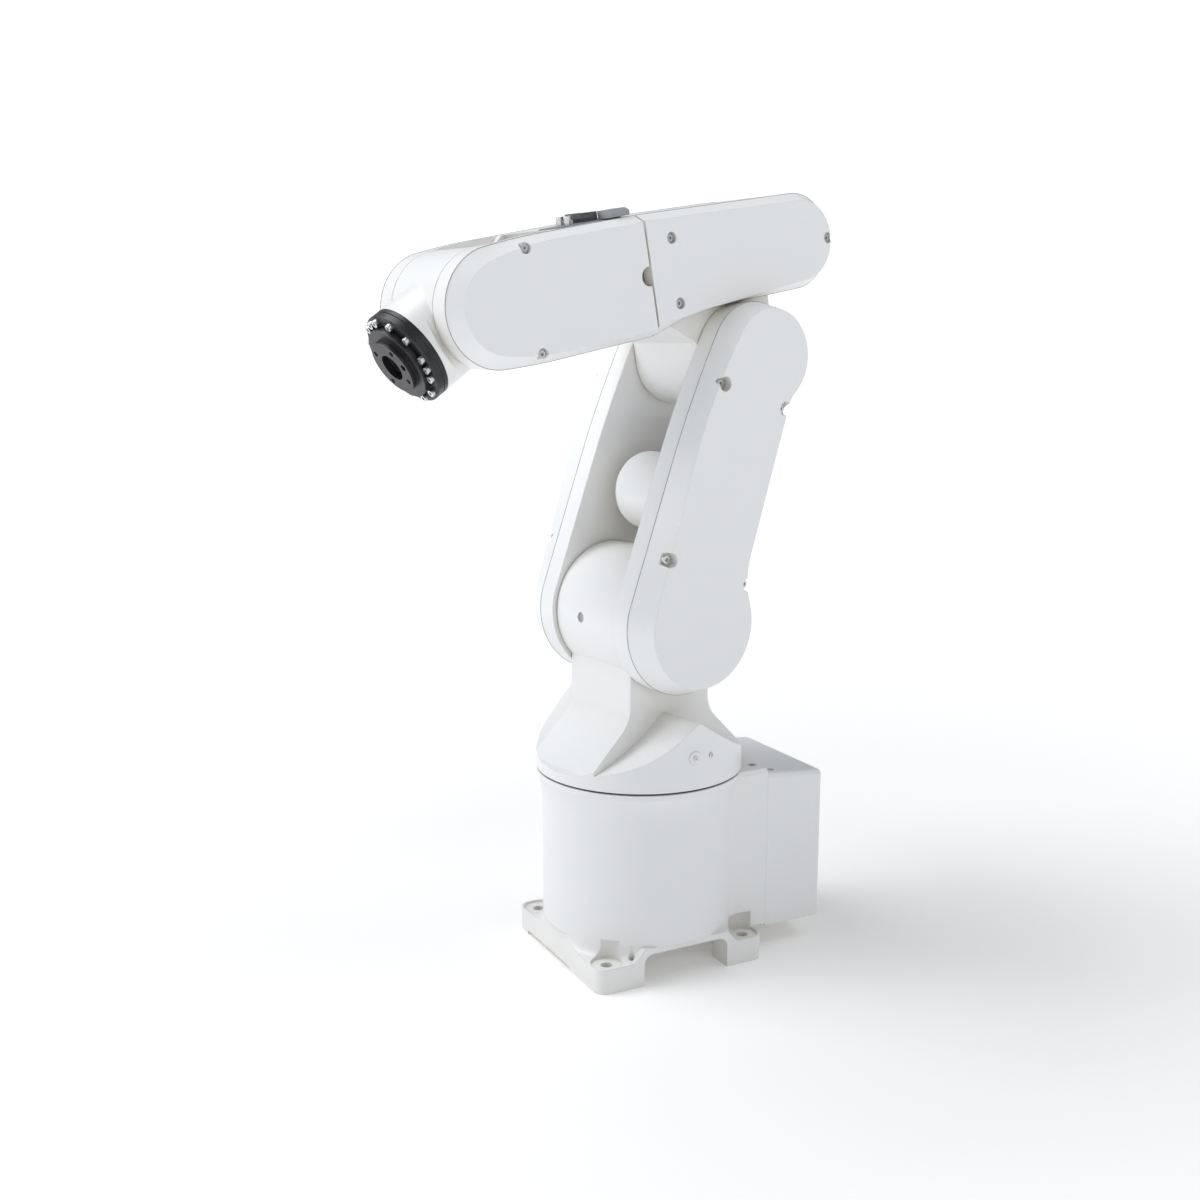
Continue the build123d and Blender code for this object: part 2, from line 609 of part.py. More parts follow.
def j2_reducer_ring():
    ring = reducer_ring(DRUM_ROOM_R - SEAT_GAP, J2_FLANGE_R - SEAT_GAP, J2_FLANGE_T - 0.3, J2_BORE_R,
                        J2_RING_H, 4, 8)
    return facing_left(ring, NECK_HALF_WIDTH - 0.3, 0, DRUM_Z)


def j2_motor():
    return facing_left(servo_motor(**J2_MOTOR), NECK_HALF_WIDTH - 0.3 - J2_RING_H, 0, DRUM_Z)


def j2_bearing_race():
    race = bearing_race(FAR_BEARING_R - 0.05, STUB_R + 3.5, FAR_BEARING_WIDTH)
    return facing_right(race, -NECK_HALF_WIDTH + FAR_BEARING_WIDTH, 0, DRUM_Z)


# Upper arm, drawn from the second joint with Z along the arm

def leaning_arc(start, direction, centre, radius):
    """End of the arc that leaves start along direction and runs smoothly onto a circle."""
    normal = (-direction[1], direction[0])
    gap = (start[0] - centre[0], start[1] - centre[1])
    along = normal[0] * gap[0] + normal[1] * gap[1]
    bend = (radius ** 2 - gap[0] ** 2 - gap[1] ** 2) / (2 * (along + radius))
    middle = (start[0] + bend * normal[0], start[1] + bend * normal[1])
    reach = math.hypot(centre[0] - middle[0], centre[1] - middle[1])
    return (middle[0] + (centre[0] - middle[0]) * bend / reach,
            middle[1] + (centre[1] - middle[1]) * bend / reach)


def waist_fillet(centre_z, radius, waist, bend, side):
    """Where the hollow between the waist line and a round end starts and stops."""
    rise = side * math.sqrt((radius + bend) ** 2 - (waist + bend) ** 2)
    middle = (-waist - bend, centre_z + rise)
    share = radius / (radius + bend)
    on_end = (middle[0] * share, centre_z + rise * share)
    on_waist = (-waist, middle[1])
    return on_end, on_waist, middle


def arc_between(start, end, middle, bend):
    """Arc from start to end about middle, by way of the point half way along."""
    mean = ((start[0] + end[0]) / 2 - middle[0], (start[1] + end[1]) / 2 - middle[1])
    size = math.hypot(*mean)
    return ThreePointArc(start, (middle[0] + mean[0] * bend / size, middle[1] + mean[1] * bend / size), end)


def arm_outline(low_r, top_r, belly, waist):
    """Side view of the arm: a large round end, a small one, a full front and a hollow back."""
    top = (0, ARM_LENGTH)
    slope = math.hypot(belly - low_r, ARM_BELLY_HEIGHT)
    direction = ((belly - low_r) / slope, ARM_BELLY_HEIGHT / slope)
    crown = leaning_arc((belly, ARM_BELLY_HEIGHT), direction, top, top_r)
    low_end, low_waist, low_middle = waist_fillet(0, low_r, waist, ARM_LOW_FILLET, 1)
    top_end, top_waist, top_middle = waist_fillet(ARM_LENGTH, top_r, waist, ARM_TOP_FILLET, -1)
    with BuildSketch() as side:
        with BuildLine():
            Line((low_r, 0), (belly, ARM_BELLY_HEIGHT))
            TangentArc((belly, ARM_BELLY_HEIGHT), crown, tangent=direction)
            ThreePointArc(crown, (-top_r * 0.3, ARM_LENGTH + top_r * math.sqrt(1 - 0.3 ** 2)), top_end)
            arc_between(top_end, top_waist, top_middle, ARM_TOP_FILLET)
            Line(top_waist, low_waist)
            arc_between(low_waist, low_end, low_middle, ARM_LOW_FILLET)
            ThreePointArc(low_end, (0, -low_r), (low_r, 0))
        make_face()
    return side.sketch


def plate_outline():
    return arm_outline(ARM_LOW_R, ARM_TOP_R, ARM_BELLY, ARM_WAIST)


def face_outline():
    return arm_outline(FACE_LOW_R, FACE_TOP_R, FACE_BELLY, FACE_WAIST)


J3_RING_R = 28.0
J3_RING_DEPTH = 12.0
J3_HUB_DEPTH = 19.0
J3_BORE_R = 19.0
BELT_Y = PLATE_OUTER_Y + 4.0
BELT_WIDTH = 9.0
J3_MOTOR_R = 26.0
J3_MOTOR_PULLEY_R = 11.0
J3_INPUT_PULLEY_R = 16.0
ARM_SCREWS = [(38.4, 177.5), (-25.6, 177.0), (46.7, 41.5), (-33.4, 40.0)]
SCREW_SEAT = COVER_FACE_Y - 9.0


def upper_arm_frame():
    """Casting of two side plates joined by a web at the back, hollowed round both joints."""
    left = slab(plate_outline(), ARM_INNER_Y, PLATE_OUTER_Y)
    web = Polygon((-ARM_WAIST, WEB_BOTTOM_REAR), (WEB_FRONT, WEB_BOTTOM_FRONT), (WEB_FRONT, WEB_TOP),
                  (-ARM_WAIST, WEB_TOP), align=None)
    frame = left + other_side(left) + slab(web, -ARM_INNER_Y, ARM_INNER_Y)
    frame -= y_cylinder(DRUM_R + SIDE_GAP, -ARM_INNER_Y, ARM_INNER_Y)
    frame -= y_cylinder(J3_MOTOR_R + 2, ARM_INNER_Y, PLATE_OUTER_Y, DOME_X, DOME_Z)
    frame -= y_cylinder(8, ARM_INNER_Y, PLATE_OUTER_Y, 0, ARM_LENGTH)
    for x, z in ARM_SCREWS:
        for side in (1, -1):
            y = side * (PLATE_OUTER_Y - 3)
            frame -= y_cylinder(COVER_SCREW_R + SCREW_GAP, y - 3, y + 3, x, z)
    return frame


def screw_lugs(places, recess_r):
    """Round lugs left standing in a cover's cavity, one for each screw."""
    return [Pos(x, z) * Circle(recess_r + SCREW_LUG_WALL) for x, z in places]


def left_arm_cover():
    cover = tapered_slab(plate_outline(), face_outline(), PLATE_OUTER_Y + SHELL_GAP, COVER_FACE_Y)
    cavity = offset(face_outline(), amount=-9.0) - screw_lugs(ARM_SCREWS, RECESS_R)
    cover -= slab(cavity, PLATE_OUTER_Y, COVER_FACE_Y - COVER_WALL)
    for x, z in ARM_SCREWS:
        cover -= y_cylinder(RECESS_R, SCREW_SEAT, COVER_FACE_Y + 1, x, z)
        cover -= y_cylinder(COVER_SCREW_R + SCREW_GAP, PLATE_OUTER_Y, SCREW_SEAT, x, z)
    return cover


def arm_cover_screws():
    screw = cap_screw(COVER_SCREW_R, SCREW_SEAT - PLATE_OUTER_Y + 5, COVER_HEAD_R, COVER_HEAD_HEIGHT)
    left = [facing_left(screw, SCREW_SEAT, x, z) for x, z in ARM_SCREWS]
    return left + [other_side(s) for s in left]


def j2_output_hub():
    depth = J2_RING_H - 6
    hub = output_hub(J2_BORE_R, depth, SIDE_GAP + 0.3, 8, 7)
    return facing_left(hub, NECK_HALF_WIDTH - 0.3)


def j2_support_stub():
    stub = z_cylinder(STUB_R + 3.1, 0, SIDE_GAP + FAR_BEARING_WIDTH)
    return facing_left(stub, -ARM_INNER_Y)


def j3_motor_cap():
    """Domed cover over the elbow motor, standing on the inside of the left plate."""
    dome = y_cylinder(DOME_R, DOME_END_Y, ARM_INNER_Y, DOME_X, DOME_Z)
    rim = dome.edges().filter_by(GeomType.CIRCLE).sort_by(Axis.Y)[0]
    dome = fillet(rim, DOME_ROUND)
    return dome - y_cylinder(J3_MOTOR_R + 2, DOME_END_Y + DOME_ROUND, ARM_INNER_Y, DOME_X, DOME_Z)


def j3_motor():
    motor = z_cylinder(J3_MOTOR_R, -48, 0) + z_cylinder(J3_MOTOR_R + 1.8, -8, 0)
    motor += z_cylinder(4, 0, BELT_Y - PLATE_OUTER_Y + BELT_WIDTH)
    return facing_left(motor, PLATE_OUTER_Y, DOME_X, DOME_Z)


def j3_motor_pulley():
    return facing_left(toothed_pulley(J3_MOTOR_PULLEY_R, BELT_WIDTH, 22, 4.1), BELT_Y, DOME_X, DOME_Z)


def j3_input_pulley():
    wheel = toothed_pulley(J3_INPUT_PULLEY_R, BELT_WIDTH, 32, 5.0) + z_cylinder(5.0, -22, BELT_WIDTH)
    return facing_left(wheel, BELT_Y, 0, ARM_LENGTH)


def j3_belt():
    belt = timing_belt((DOME_X, -DOME_Z), (0, -ARM_LENGTH), J3_MOTOR_PULLEY_R + SEAT_GAP,
                       J3_INPUT_PULLEY_R + SEAT_GAP, 1.4, BELT_WIDTH * 0.7)
    return facing_left(belt, BELT_Y + BELT_WIDTH * 0.15)


def j3_reducer_ring():
    ring = z_cylinder(J3_RING_R, 0, J3_RING_DEPTH) - z_cylinder(J3_BORE_R, 0, J3_RING_DEPTH)
    ring += z_cylinder(J3_BORE_R + 1, 0, 2.5) - z_cylinder(7, 0, 2.5)
    return facing_right(ring, ARM_INNER_Y, 0, ARM_LENGTH)


def j3_support_stub():
    stub = z_cylinder(STUB_R + 3.1, 0, SIDE_GAP + FAR_BEARING_WIDTH)
    return facing_left(stub, -ARM_INNER_Y, 0, ARM_LENGTH)


# Elbow, drawn from the third joint with X along the forearm

YOKE_HALF_WIDTH = NECK_HALF_WIDTH
BARREL_HALF = BARREL_NOSE_R + BARREL_RISE
J4_RING_R = 31.0
J4_FLANGE_R = 35.0
J4_BORE_R = 23.0
J4_RING_H = 20.0
J4_ROOM_X = -52.0


def block_outline(front_top, front_bottom, belly, rear_r):
    """Side view of the elbow block, from the seam of the fourth joint to its round back."""
    rear_z = BLOCK_REAR_Z - ELBOW_OFFSET
    with BuildSketch() as side:
        with BuildLine():
            Line((ELBOW_SEAM_X, -front_bottom), (ELBOW_SEAM_X, front_top))
            Line((ELBOW_SEAM_X, front_top), (BLOCK_REAR_X, rear_z + rear_r))
            ThreePointArc((BLOCK_REAR_X, rear_z + rear_r), (BLOCK_REAR_X - rear_r, rear_z),
                          (BLOCK_REAR_X, rear_z - rear_r))
            Line((BLOCK_REAR_X, rear_z - rear_r), (BLOCK_BELLY_X, -belly))
            Line((BLOCK_BELLY_X, -belly), (ELBOW_SEAM_X, -front_bottom))
        make_face()
    return Pos(0, ELBOW_OFFSET) * side.sketch


BLOCK_BELLY = ELBOW_OFFSET - BLOCK_BELLY_Z
BLOCK_SCREWS = [(62.0, ELBOW_OFFSET + 23.5), (62.0, ELBOW_OFFSET - 23.5), (-93.0, ELBOW_OFFSET)]
SMALL_SEAT = SIDE_Y - 4.5


def side_screw_holes(places):
    """Tapped holes for the cover screws, in both sides of a casting."""
    cutters = []
    for x, z in places:
        for low, high in ((SKIN_Y - 6, SKIN_Y), (-SKIN_Y, 6 - SKIN_Y)):
            cutters.append(y_cylinder(SMALL_SCREW_R + SCREW_GAP, low, high, x, z))
    return cutters


def elbow_casting():
    """Block that holds the fourth joint, with a yoke down between the plates of the arm."""
    body = slab(block_outline(BARREL_HALF, BARREL_HALF, BLOCK_BELLY, BLOCK_REAR_R), -SKIN_Y, SKIN_Y)
    flare = Polygon((BOSS_R, 0), (BOSS_R, YOKE_FLARE_Z), (YOKE_FLARE_X, BLOCK_BELLY_Z),
                    (YOKE_FLARE_X, ELBOW_OFFSET), (-BOSS_R, ELBOW_OFFSET), (-BOSS_R, 0), align=None)
    body += slab(Circle(BOSS_R) + flare, -YOKE_HALF_WIDTH, YOKE_HALF_WIDTH)
    body -= y_cylinder(J3_RING_R + 2 * RUNNING_GAP, YOKE_HALF_WIDTH - J3_HUB_DEPTH, YOKE_HALF_WIDTH)
    body -= y_cylinder(FAR_BEARING_R, -YOKE_HALF_WIDTH, -YOKE_HALF_WIDTH + FAR_BEARING_WIDTH)
    body -= x_cylinder(J4_RING_R, J4_ROOM_X, ELBOW_SEAM_X, 0, ELBOW_OFFSET)
    body -= x_cylinder(J4_FLANGE_R, ELBOW_SEAM_X - 5, ELBOW_SEAM_X, 0, ELBOW_OFFSET)
    return body - side_screw_holes(BLOCK_SCREWS)


def left_elbow_cover():
    base = block_outline(BARREL_HALF, BARREL_HALF, BLOCK_BELLY, BLOCK_REAR_R)
    face = block_outline(BLOCK_FACE_TOP, BLOCK_FACE_BOTTOM, BLOCK_BELLY - 0.7, BLOCK_FACE_R)
    cover = tapered_slab(base, face, SKIN_Y + SHELL_GAP, SIDE_Y)
    cavity = offset(face, amount=-11.0) - screw_lugs(BLOCK_SCREWS, SMALL_RECESS_R)
    cover -= slab(cavity, SKIN_Y, SIDE_Y - SIDE_WALL)
    for x, z in BLOCK_SCREWS:
        cover -= y_cylinder(SMALL_RECESS_R, SMALL_SEAT, SIDE_Y + 1, x, z)
        cover -= y_cylinder(SMALL_SCREW_R + SCREW_GAP, SKIN_Y, SMALL_SEAT, x, z)
    return cover


def side_screws(places):
    screw = cap_screw(SMALL_SCREW_R, SMALL_SEAT - SKIN_Y + 5, SMALL_HEAD_R, SMALL_HEAD_HEIGHT)
    left = [facing_left(screw, SMALL_SEAT, x, z) for x, z in places]
    return left + [other_side(s) for s in left]


def j3_output_hub():
    hub = z_cylinder(J3_RING_R, J3_RING_DEPTH + RUNNING_GAP + SIDE_GAP, J3_HUB_DEPTH + SIDE_GAP)
    hub += z_cylinder(J3_BORE_R - RUNNING_GAP, 5, J3_RING_DEPTH + RUNNING_GAP + SIDE_GAP)
    hub -= z_cylinder(7.5, 5, 14)
    return facing_right(hub, ARM_INNER_Y)


def j3_bearing_race():
    race = bearing_race(FAR_BEARING_R - 0.05, STUB_R + 3.5, FAR_BEARING_WIDTH)
    return facing_right(race, -YOKE_HALF_WIDTH + FAR_BEARING_WIDTH)


def facing_front(shape, x, z):
    """Turn a shape drawn along Z so that it points along +X."""
    return Location((x, 0, z), (0, 90, 0)) * shape


def j4_reducer_ring():
    ring = reducer_ring(J4_RING_R - SEAT_GAP, J4_FLANGE_R - SEAT_GAP, 4.7, J4_BORE_R, J4_RING_H, 4, 6)
    return facing_front(ring, ELBOW_SEAM_X - 0.3, ELBOW_OFFSET)


def j4_motor():
    return facing_front(servo_motor(**J4_MOTOR), ELBOW_SEAM_X - 0.3 - J4_RING_H, ELBOW_OFFSET)


# Forearm

BARREL_REAR = ELBOW_SEAM_X + SEAM_GAP
CHEEK_INNER = DRUM_HALF_WIDTH + WRIST_GAP
THROAT_R = WRIST_R + 0.8
RELIEF_R = math.hypot(NOSE_END + RING_THICKNESS + 4.5, RING_R) + 1.0
J5_MOTOR_SQ = 38.0
J5_MOTOR_SET_BACK = 82.0
J5_MOTOR_X = FOREARM_LENGTH - J5_MOTOR_SET_BACK
J5_BELT_Y = SKIN_Y + 0.8
J5_BELT_W = 5.5
J5_MOTOR_PULLEY_R = 9.0
J5_INPUT_PULLEY_R = 13.0
J5_RING_R = 24.0
J5_RING_DEPTH = 8.0
J5_HUB_DEPTH = 12.8
J5_BORE_R = 16.0
FORE_SCREWS = [(187.0, ELBOW_OFFSET + 36.0), (187.0, ELBOW_OFFSET - 36.0)]


def barrel_outline(half_height, nose_r, rear_x):
    """Side view of the forearm: level top and bottom that run smoothly into a round nose."""
    rise = half_height - nose_r
    bend = (NOSE_BLEND ** 2 + half_height ** 2 - nose_r ** 2) / (2 * rise)
    turn = math.degrees(math.asin(NOSE_BLEND / (bend - nose_r)))
    blend_x = FOREARM_LENGTH - NOSE_BLEND
    with BuildSketch() as side:
        with BuildLine():
            low = Line((rear_x, -half_height), (blend_x, -half_height))
            low_bend = JernArc(low @ 1, (1, 0), bend, turn)
            nose = JernArc(low_bend @ 1, low_bend % 1, nose_r, 180 - 2 * turn)
            top_bend = JernArc(nose @ 1, nose % 1, bend, turn)
            top = Line(top_bend @ 1, (rear_x, half_height))
            Line(top @ 1, low @ 0)
        make_face()
    return Pos(0, ELBOW_OFFSET) * side.sketch


def throat_outline():
    """Side view of the room that the nose of the wrist sweeps, either side of a wedge-shaped tongue."""
    tip = -(NOSE_R + 1.0) / math.sin(math.radians(WRIST_SWING))
    slope = math.tan(math.radians(180 - WRIST_SWING))
    tongue = Polygon((tip, 0), (tip - RELIEF_R, slope * RELIEF_R), (tip - RELIEF_R, -slope * RELIEF_R),
                     align=None)
    return Pos(FOREARM_LENGTH, ELBOW_OFFSET) * (Circle(RELIEF_R) - tongue)


def scoop_outline():
    """Side view of the scoops inside the cheeks that the rim of the bearing ring passes through."""
    turn = math.radians(180 - WRIST_SWING - SCOOP_MARGIN)
    kept = Polygon((0, 0), (-RELIEF_R, RELIEF_R * math.tan(turn)), (-RELIEF_R, -RELIEF_R * math.tan(turn)),
                   align=None)
    front = Pos(RELIEF_R, 0) * Rectangle(2 * RELIEF_R, 2 * RELIEF_R)
    return Pos(FOREARM_LENGTH, ELBOW_OFFSET) * (Circle(RELIEF_R) - Circle(THROAT_R) - kept - front)


def forearm_casting():
    """Barrel with two cheeks that hold the wrist between them."""
    body = slab(barrel_outline(BARREL_HALF, BARREL_NOSE_R, BARREL_REAR), -SKIN_Y, SKIN_Y)
    wrist = (FOREARM_LENGTH, ELBOW_OFFSET)
    body -= y_cylinder(THROAT_R, -CHEEK_INNER, CHEEK_INNER, *wrist)
    body -= block((FOREARM_LENGTH, -CHEEK_INNER, 0), (2 * FOREARM_LENGTH, CHEEK_INNER, 2 * ELBOW_OFFSET))
    body -= slab(throat_outline(), -CHEEK_INNER, CHEEK_INNER)
    body -= slab(scoop_outline(), -SCOOP_HALF_WIDTH, SCOOP_HALF_WIDTH)
    half = J5_MOTOR_SQ / 2 + 1
    body -= block((J5_MOTOR_X - half, -26, ELBOW_OFFSET - half),
                  (J5_MOTOR_X + half, SKIN_Y, ELBOW_OFFSET + half))
    body -= y_cylinder(7, CHEEK_INNER, SKIN_Y, *wrist)
    body -= side_screw_holes(FORE_SCREWS)
    return body - socket_pocket()


def left_forearm_cover():
    """Side cover with sloped edges, bare on its broad face."""
    base = barrel_outline(BARREL_HALF, BARREL_NOSE_R, BARREL_REAR)
    face = barrel_outline(FACE_NOSE_R + FACE_RISE, FACE_NOSE_R, BARREL_REAR)
    cover = tapered_slab(base, face, SKIN_Y + SHELL_GAP, SIDE_Y)
    cavity = barrel_outline(FACE_NOSE_R + FACE_RISE - 8, FACE_NOSE_R - 8, BARREL_REAR + 12)
    cavity -= screw_lugs(FORE_SCREWS, SMALL_RECESS_R)
    cover -= slab(cavity, SKIN_Y, SIDE_Y - SIDE_WALL)
    for x, z in FORE_SCREWS:
        cover -= y_cylinder(SMALL_RECESS_R, SMALL_SEAT, SIDE_Y + 1, x, z)
        cover -= y_cylinder(SMALL_SCREW_R + SCREW_GAP, SKIN_Y, SMALL_SEAT, x, z)
    return cover - y_cylinder(EDGE_NOTCH_R, SKIN_Y, SIDE_Y + 1, BARREL_REAR + 1, ELBOW_OFFSET)


def j4_output_hub():
    hub = output_hub(J4_BORE_R, J4_RING_H - 6, SEAM_GAP + 0.3, 6, 8)
    return facing_front(hub, ELBOW_SEAM_X - 0.3, ELBOW_OFFSET)


SOCKET_Z = ELBOW_OFFSET + BARREL_HALF + 1.0
SOCKET_X = 115.0
SOCKET_Y = 21.0
SOCKET_PLATE = (57.0, 26.0, 2.0)


def socket_pocket():
    """Flat pocket in the top for the socket plate, with a well for the wires."""
    length, width, thickness = SOCKET_PLATE
    top = Pos(SOCKET_X, SOCKET_Y, SOCKET_Z - thickness)
    pocket = extrude(RectangleRounded(length + 0.3, width + 0.3, 2), amount=10)
    well = extrude(RectangleRounded(length - 16, width - 12, 2), amount=-14)
    return [top * pocket, top * well]


def socket_plate():
    """Plate that carries the tool's signal socket and the air ports."""
    length, width, thickness = SOCKET_PLATE
    plate = Pos(SOCKET_X, SOCKET_Y, SOCKET_Z) * extrude(RectangleRounded(length, width, 2), amount=-thickness)
    return plate


def tool_socket():
    """Rectangular signal socket with a wire latch, and the sloped cap behind it."""
    shell = block((-10, -8, 0), (4.5, 8, 6)) - block((-8, -6, 1.5), (2.5, 6, 6))
    shell += block((-6, -4, 1.5), (0.5, 4, 4.5))
    latch = block((4.5, -9, 2.5), (6, 9, 6.8))
    for sy in (1, -1):
        latch += block((-4, sy * 8.5 - 0.5, 2.5), (4.5, sy * 8.5 + 0.5, 4.5))
    return Pos(SOCKET_X, SOCKET_Y, SOCKET_Z) * (shell + latch)


def socket_cap():
    outline = Polygon((-27, 0), (-27, 3.5), (-23.5, 5.8), (-10.4, 5.8), (-10.4, 0), align=None)
    return Pos(SOCKET_X, SOCKET_Y, SOCKET_Z) * slab(outline, -8, 8)


def air_ports():
    port = z_cylinder(2.7, 0, 6) + extrude(RegularPolygon(3.6, 6), amount=3)
    port -= z_cylinder(1.6, 2, 6)
    return [Pos(SOCKET_X + 13.5, SOCKET_Y + sy * 5, SOCKET_Z) * port for sy in (1, -1)]


def j5_motor():
    motor = servo_motor(square=J5_MOTOR_SQ, length=54, flange_r=17, flange_thickness=3, shaft_r=3,
                        shaft_length=SKIN_Y + 0.8 + J5_BELT_W - 33)
    return facing_left(motor, 33, J5_MOTOR_X, ELBOW_OFFSET)


def j5_motor_pulley():
    wheel = toothed_pulley(J5_MOTOR_PULLEY_R, J5_BELT_W, 18, 3.1)
    return facing_left(wheel, J5_BELT_Y, J5_MOTOR_X, ELBOW_OFFSET)


def j5_input_pulley():
    wheel = toothed_pulley(J5_INPUT_PULLEY_R, J5_BELT_W, 26, 4.0) + z_cylinder(4.0, -18, J5_BELT_W)
    return facing_left(wheel, J5_BELT_Y, FOREARM_LENGTH, ELBOW_OFFSET)


def j5_belt():
    belt = timing_belt((J5_MOTOR_X, -ELBOW_OFFSET), (FOREARM_LENGTH, -ELBOW_OFFSET),
                       J5_MOTOR_PULLEY_R + SEAT_GAP, J5_INPUT_PULLEY_R + SEAT_GAP, 1.2, J5_BELT_W * 0.7)
    return facing_left(belt, J5_BELT_Y + J5_BELT_W * 0.15)


def j5_reducer_ring():
    ring = z_cylinder(J5_RING_R, 0, J5_RING_DEPTH) - z_cylinder(J5_BORE_R, 0, J5_RING_DEPTH)
    ring += z_cylinder(J5_BORE_R + 1, 0, 2.0) - z_cylinder(6, 0, 2.0)
    return facing_right(ring, CHEEK_INNER, FOREARM_LENGTH, ELBOW_OFFSET)


WRIST_STUB_R = 9.0
WRIST_BEARING_R = 16.0
WRIST_BEARING_W = 6.0


def j5_support_stub():
    stub = z_cylinder(WRIST_STUB_R, 0, WRIST_GAP + WRIST_BEARING_W)
    return facing_left(stub, -CHEEK_INNER, FOREARM_LENGTH, ELBOW_OFFSET)


# Wrist, drawn from the fifth joint with X along the flange axis

MOTOR_WELL_HALF = 15.0
MOTOR_SEAT_X = 34.0
MOTOR_FLANGE_R = 22.0
FLANGE_BACK = NOSE_END + RING_THICKNESS + 0.5


def wrist_casting():
    """Drum between the cheeks, with a nose that swells into the round seat of the bearing ring."""
    drum = y_cylinder(WRIST_R, -DRUM_HALF_WIDTH, DRUM_HALF_WIDTH)
    flare = NOSE_END - NOSE_FLARE_START
    plan = Polygon((0, -DRUM_HALF_WIDTH), (NOSE_FLARE_START, -DRUM_HALF_WIDTH),
                   (NOSE_END - 0.4 * flare, -NOSE_R),
                   (NOSE_END, -NOSE_R), (NOSE_END, NOSE_R), (NOSE_END - 0.4 * flare, NOSE_R),
                   (NOSE_FLARE_START, DRUM_HALF_WIDTH), (0, DRUM_HALF_WIDTH), align=None)
    nose = x_cylinder(NOSE_R, 0, NOSE_END) & Pos(0, 0, -NOSE_R) * extrude(plan, amount=2 * NOSE_R)
    body = drum + nose
    body -= x_cylinder(RING_SPIGOT_R + SEAT_GAP, MOTOR_SEAT_X, NOSE_END)
    body -= block((-30, -MOTOR_WELL_HALF, -MOTOR_WELL_HALF), (MOTOR_SEAT_X, MOTOR_WELL_HALF, MOTOR_WELL_HALF))
    body -= y_cylinder(J5_RING_R + 2 * RUNNING_GAP, DRUM_HALF_WIDTH - J5_HUB_DEPTH, DRUM_HALF_WIDTH)
    body -= y_cylinder(WRIST_BEARING_R, -DRUM_HALF_WIDTH, -DRUM_HALF_WIDTH + WRIST_BEARING_W)
    return body - ring_screw_holes(NOSE_END - 5, NOSE_END)


def j5_output_hub():
    start = J5_RING_DEPTH + RUNNING_GAP + WRIST_GAP
    hub = z_cylinder(J5_RING_R, start, J5_HUB_DEPTH + WRIST_GAP)
    hub += z_cylinder(J5_BORE_R - RUNNING_GAP, 4, start)
    hub -= z_cylinder(6.5, 4, start)
    return facing_right(hub, CHEEK_INNER)


def j5_bearing_race():
    race = bearing_race(WRIST_BEARING_R - 0.05, WRIST_STUB_R + 0.4, WRIST_BEARING_W)
    return facing_right(race, -DRUM_HALF_WIDTH + WRIST_BEARING_W)


def j6_motor():
    motor = servo_motor(square=J6_MOTOR_SQ, length=J6_MOTOR_LENGTH, flange_r=MOTOR_FLANGE_R,
                        flange_thickness=3, shaft_r=4, shaft_length=14)
    return facing_front(motor, MOTOR_SEAT_X + 3, 0)


RING_SCREW_ANGLES = [2 + 30 * i for i in range(12)] + [-13 + 120 * i for i in range(3)]


def ring_screw_holes(x_low, x_high):
    hole = x_cylinder(RING_SCREW_R + SCREW_GAP, x_low, x_high, RING_SCREW_CIRCLE_R)
    return [Rot(angle, 0, 0) * hole for angle in RING_SCREW_ANGLES]


def bearing_ring():
    """Black outer race of the last joint, with a groove round it and a spigot in the nose."""
    ring = x_cylinder(RING_R, NOSE_END, NOSE_END + RING_THICKNESS)
    ring += x_cylinder(RING_SPIGOT_R, NOSE_END - RING_SPIGOT_LENGTH, NOSE_END)
    ring -= x_cylinder(RING_BORE_R, NOSE_END - RING_SPIGOT_LENGTH, NOSE_END + RING_THICKNESS)
    groove = NOSE_END + RING_GROOVE_AT
    cut = x_cylinder(RING_R + 1, groove, groove + RING_GROOVE_WIDTH)
    cut -= x_cylinder(RING_R - RING_GROOVE_DEPTH, groove, groove + RING_GROOVE_WIDTH)
    ring -= cut
    ring -= ring_screw_holes(NOSE_END, NOSE_END + RING_THICKNESS)
    outer = [e for e in ring.edges().filter_by(GeomType.CIRCLE) if abs(e.radius - RING_R) < 0.01]
    front = sorted(outer, key=lambda e: e.center().X)[-1]
    return chamfer(front, 0.8)


def ring_screws():
    screw = cap_screw(RING_SCREW_R, RING_SCREW_LENGTH, RING_HEAD_R, RING_HEAD_HEIGHT)
    face = NOSE_END + RING_THICKNESS
    return [Rot(angle, 0, 0) * Location((face, RING_SCREW_CIRCLE_R, 0), (0, 90, 0)) * screw
            for angle in RING_SCREW_ANGLES]


# Tool flange, drawn in the wrist's frame

def tool_flange():
    """Stepped flange with the centring bore, four tapped holes and a dowel hole."""
    flange = x_cylinder(DISC_R, FLANGE_BACK, FLANGE_BACK + DISC_THICKNESS)
    flange += x_cylinder(FLANGE_R, FLANGE_BACK, FLANGE_REACH)
    flange += x_cylinder(RING_BORE_R - RUNNING_GAP, NOSE_END - 3, FLANGE_BACK)
    flange -= x_cylinder(FLANGE_BORE_R, FLANGE_REACH - FLANGE_BORE_DEPTH, FLANGE_REACH)
    flange -= x_cylinder(6, NOSE_END - 3, NOSE_END + 4)
    bolt = x_cylinder(FLANGE_BOLT_HOLE_R, FLANGE_REACH - FLANGE_BOLT_DEPTH, FLANGE_REACH,
                      FLANGE_BOLT_CIRCLE / 2)
    flange -= [Rot(45 + 90 * i, 0, 0) * bolt for i in range(4)]
    flange -= x_cylinder(FLANGE_DOWEL_R, FLANGE_REACH - 5.5, FLANGE_REACH,
                                        FLANGE_BOLT_CIRCLE / 2)
    return flange


# Assembly: node name, frame of its link and its shape

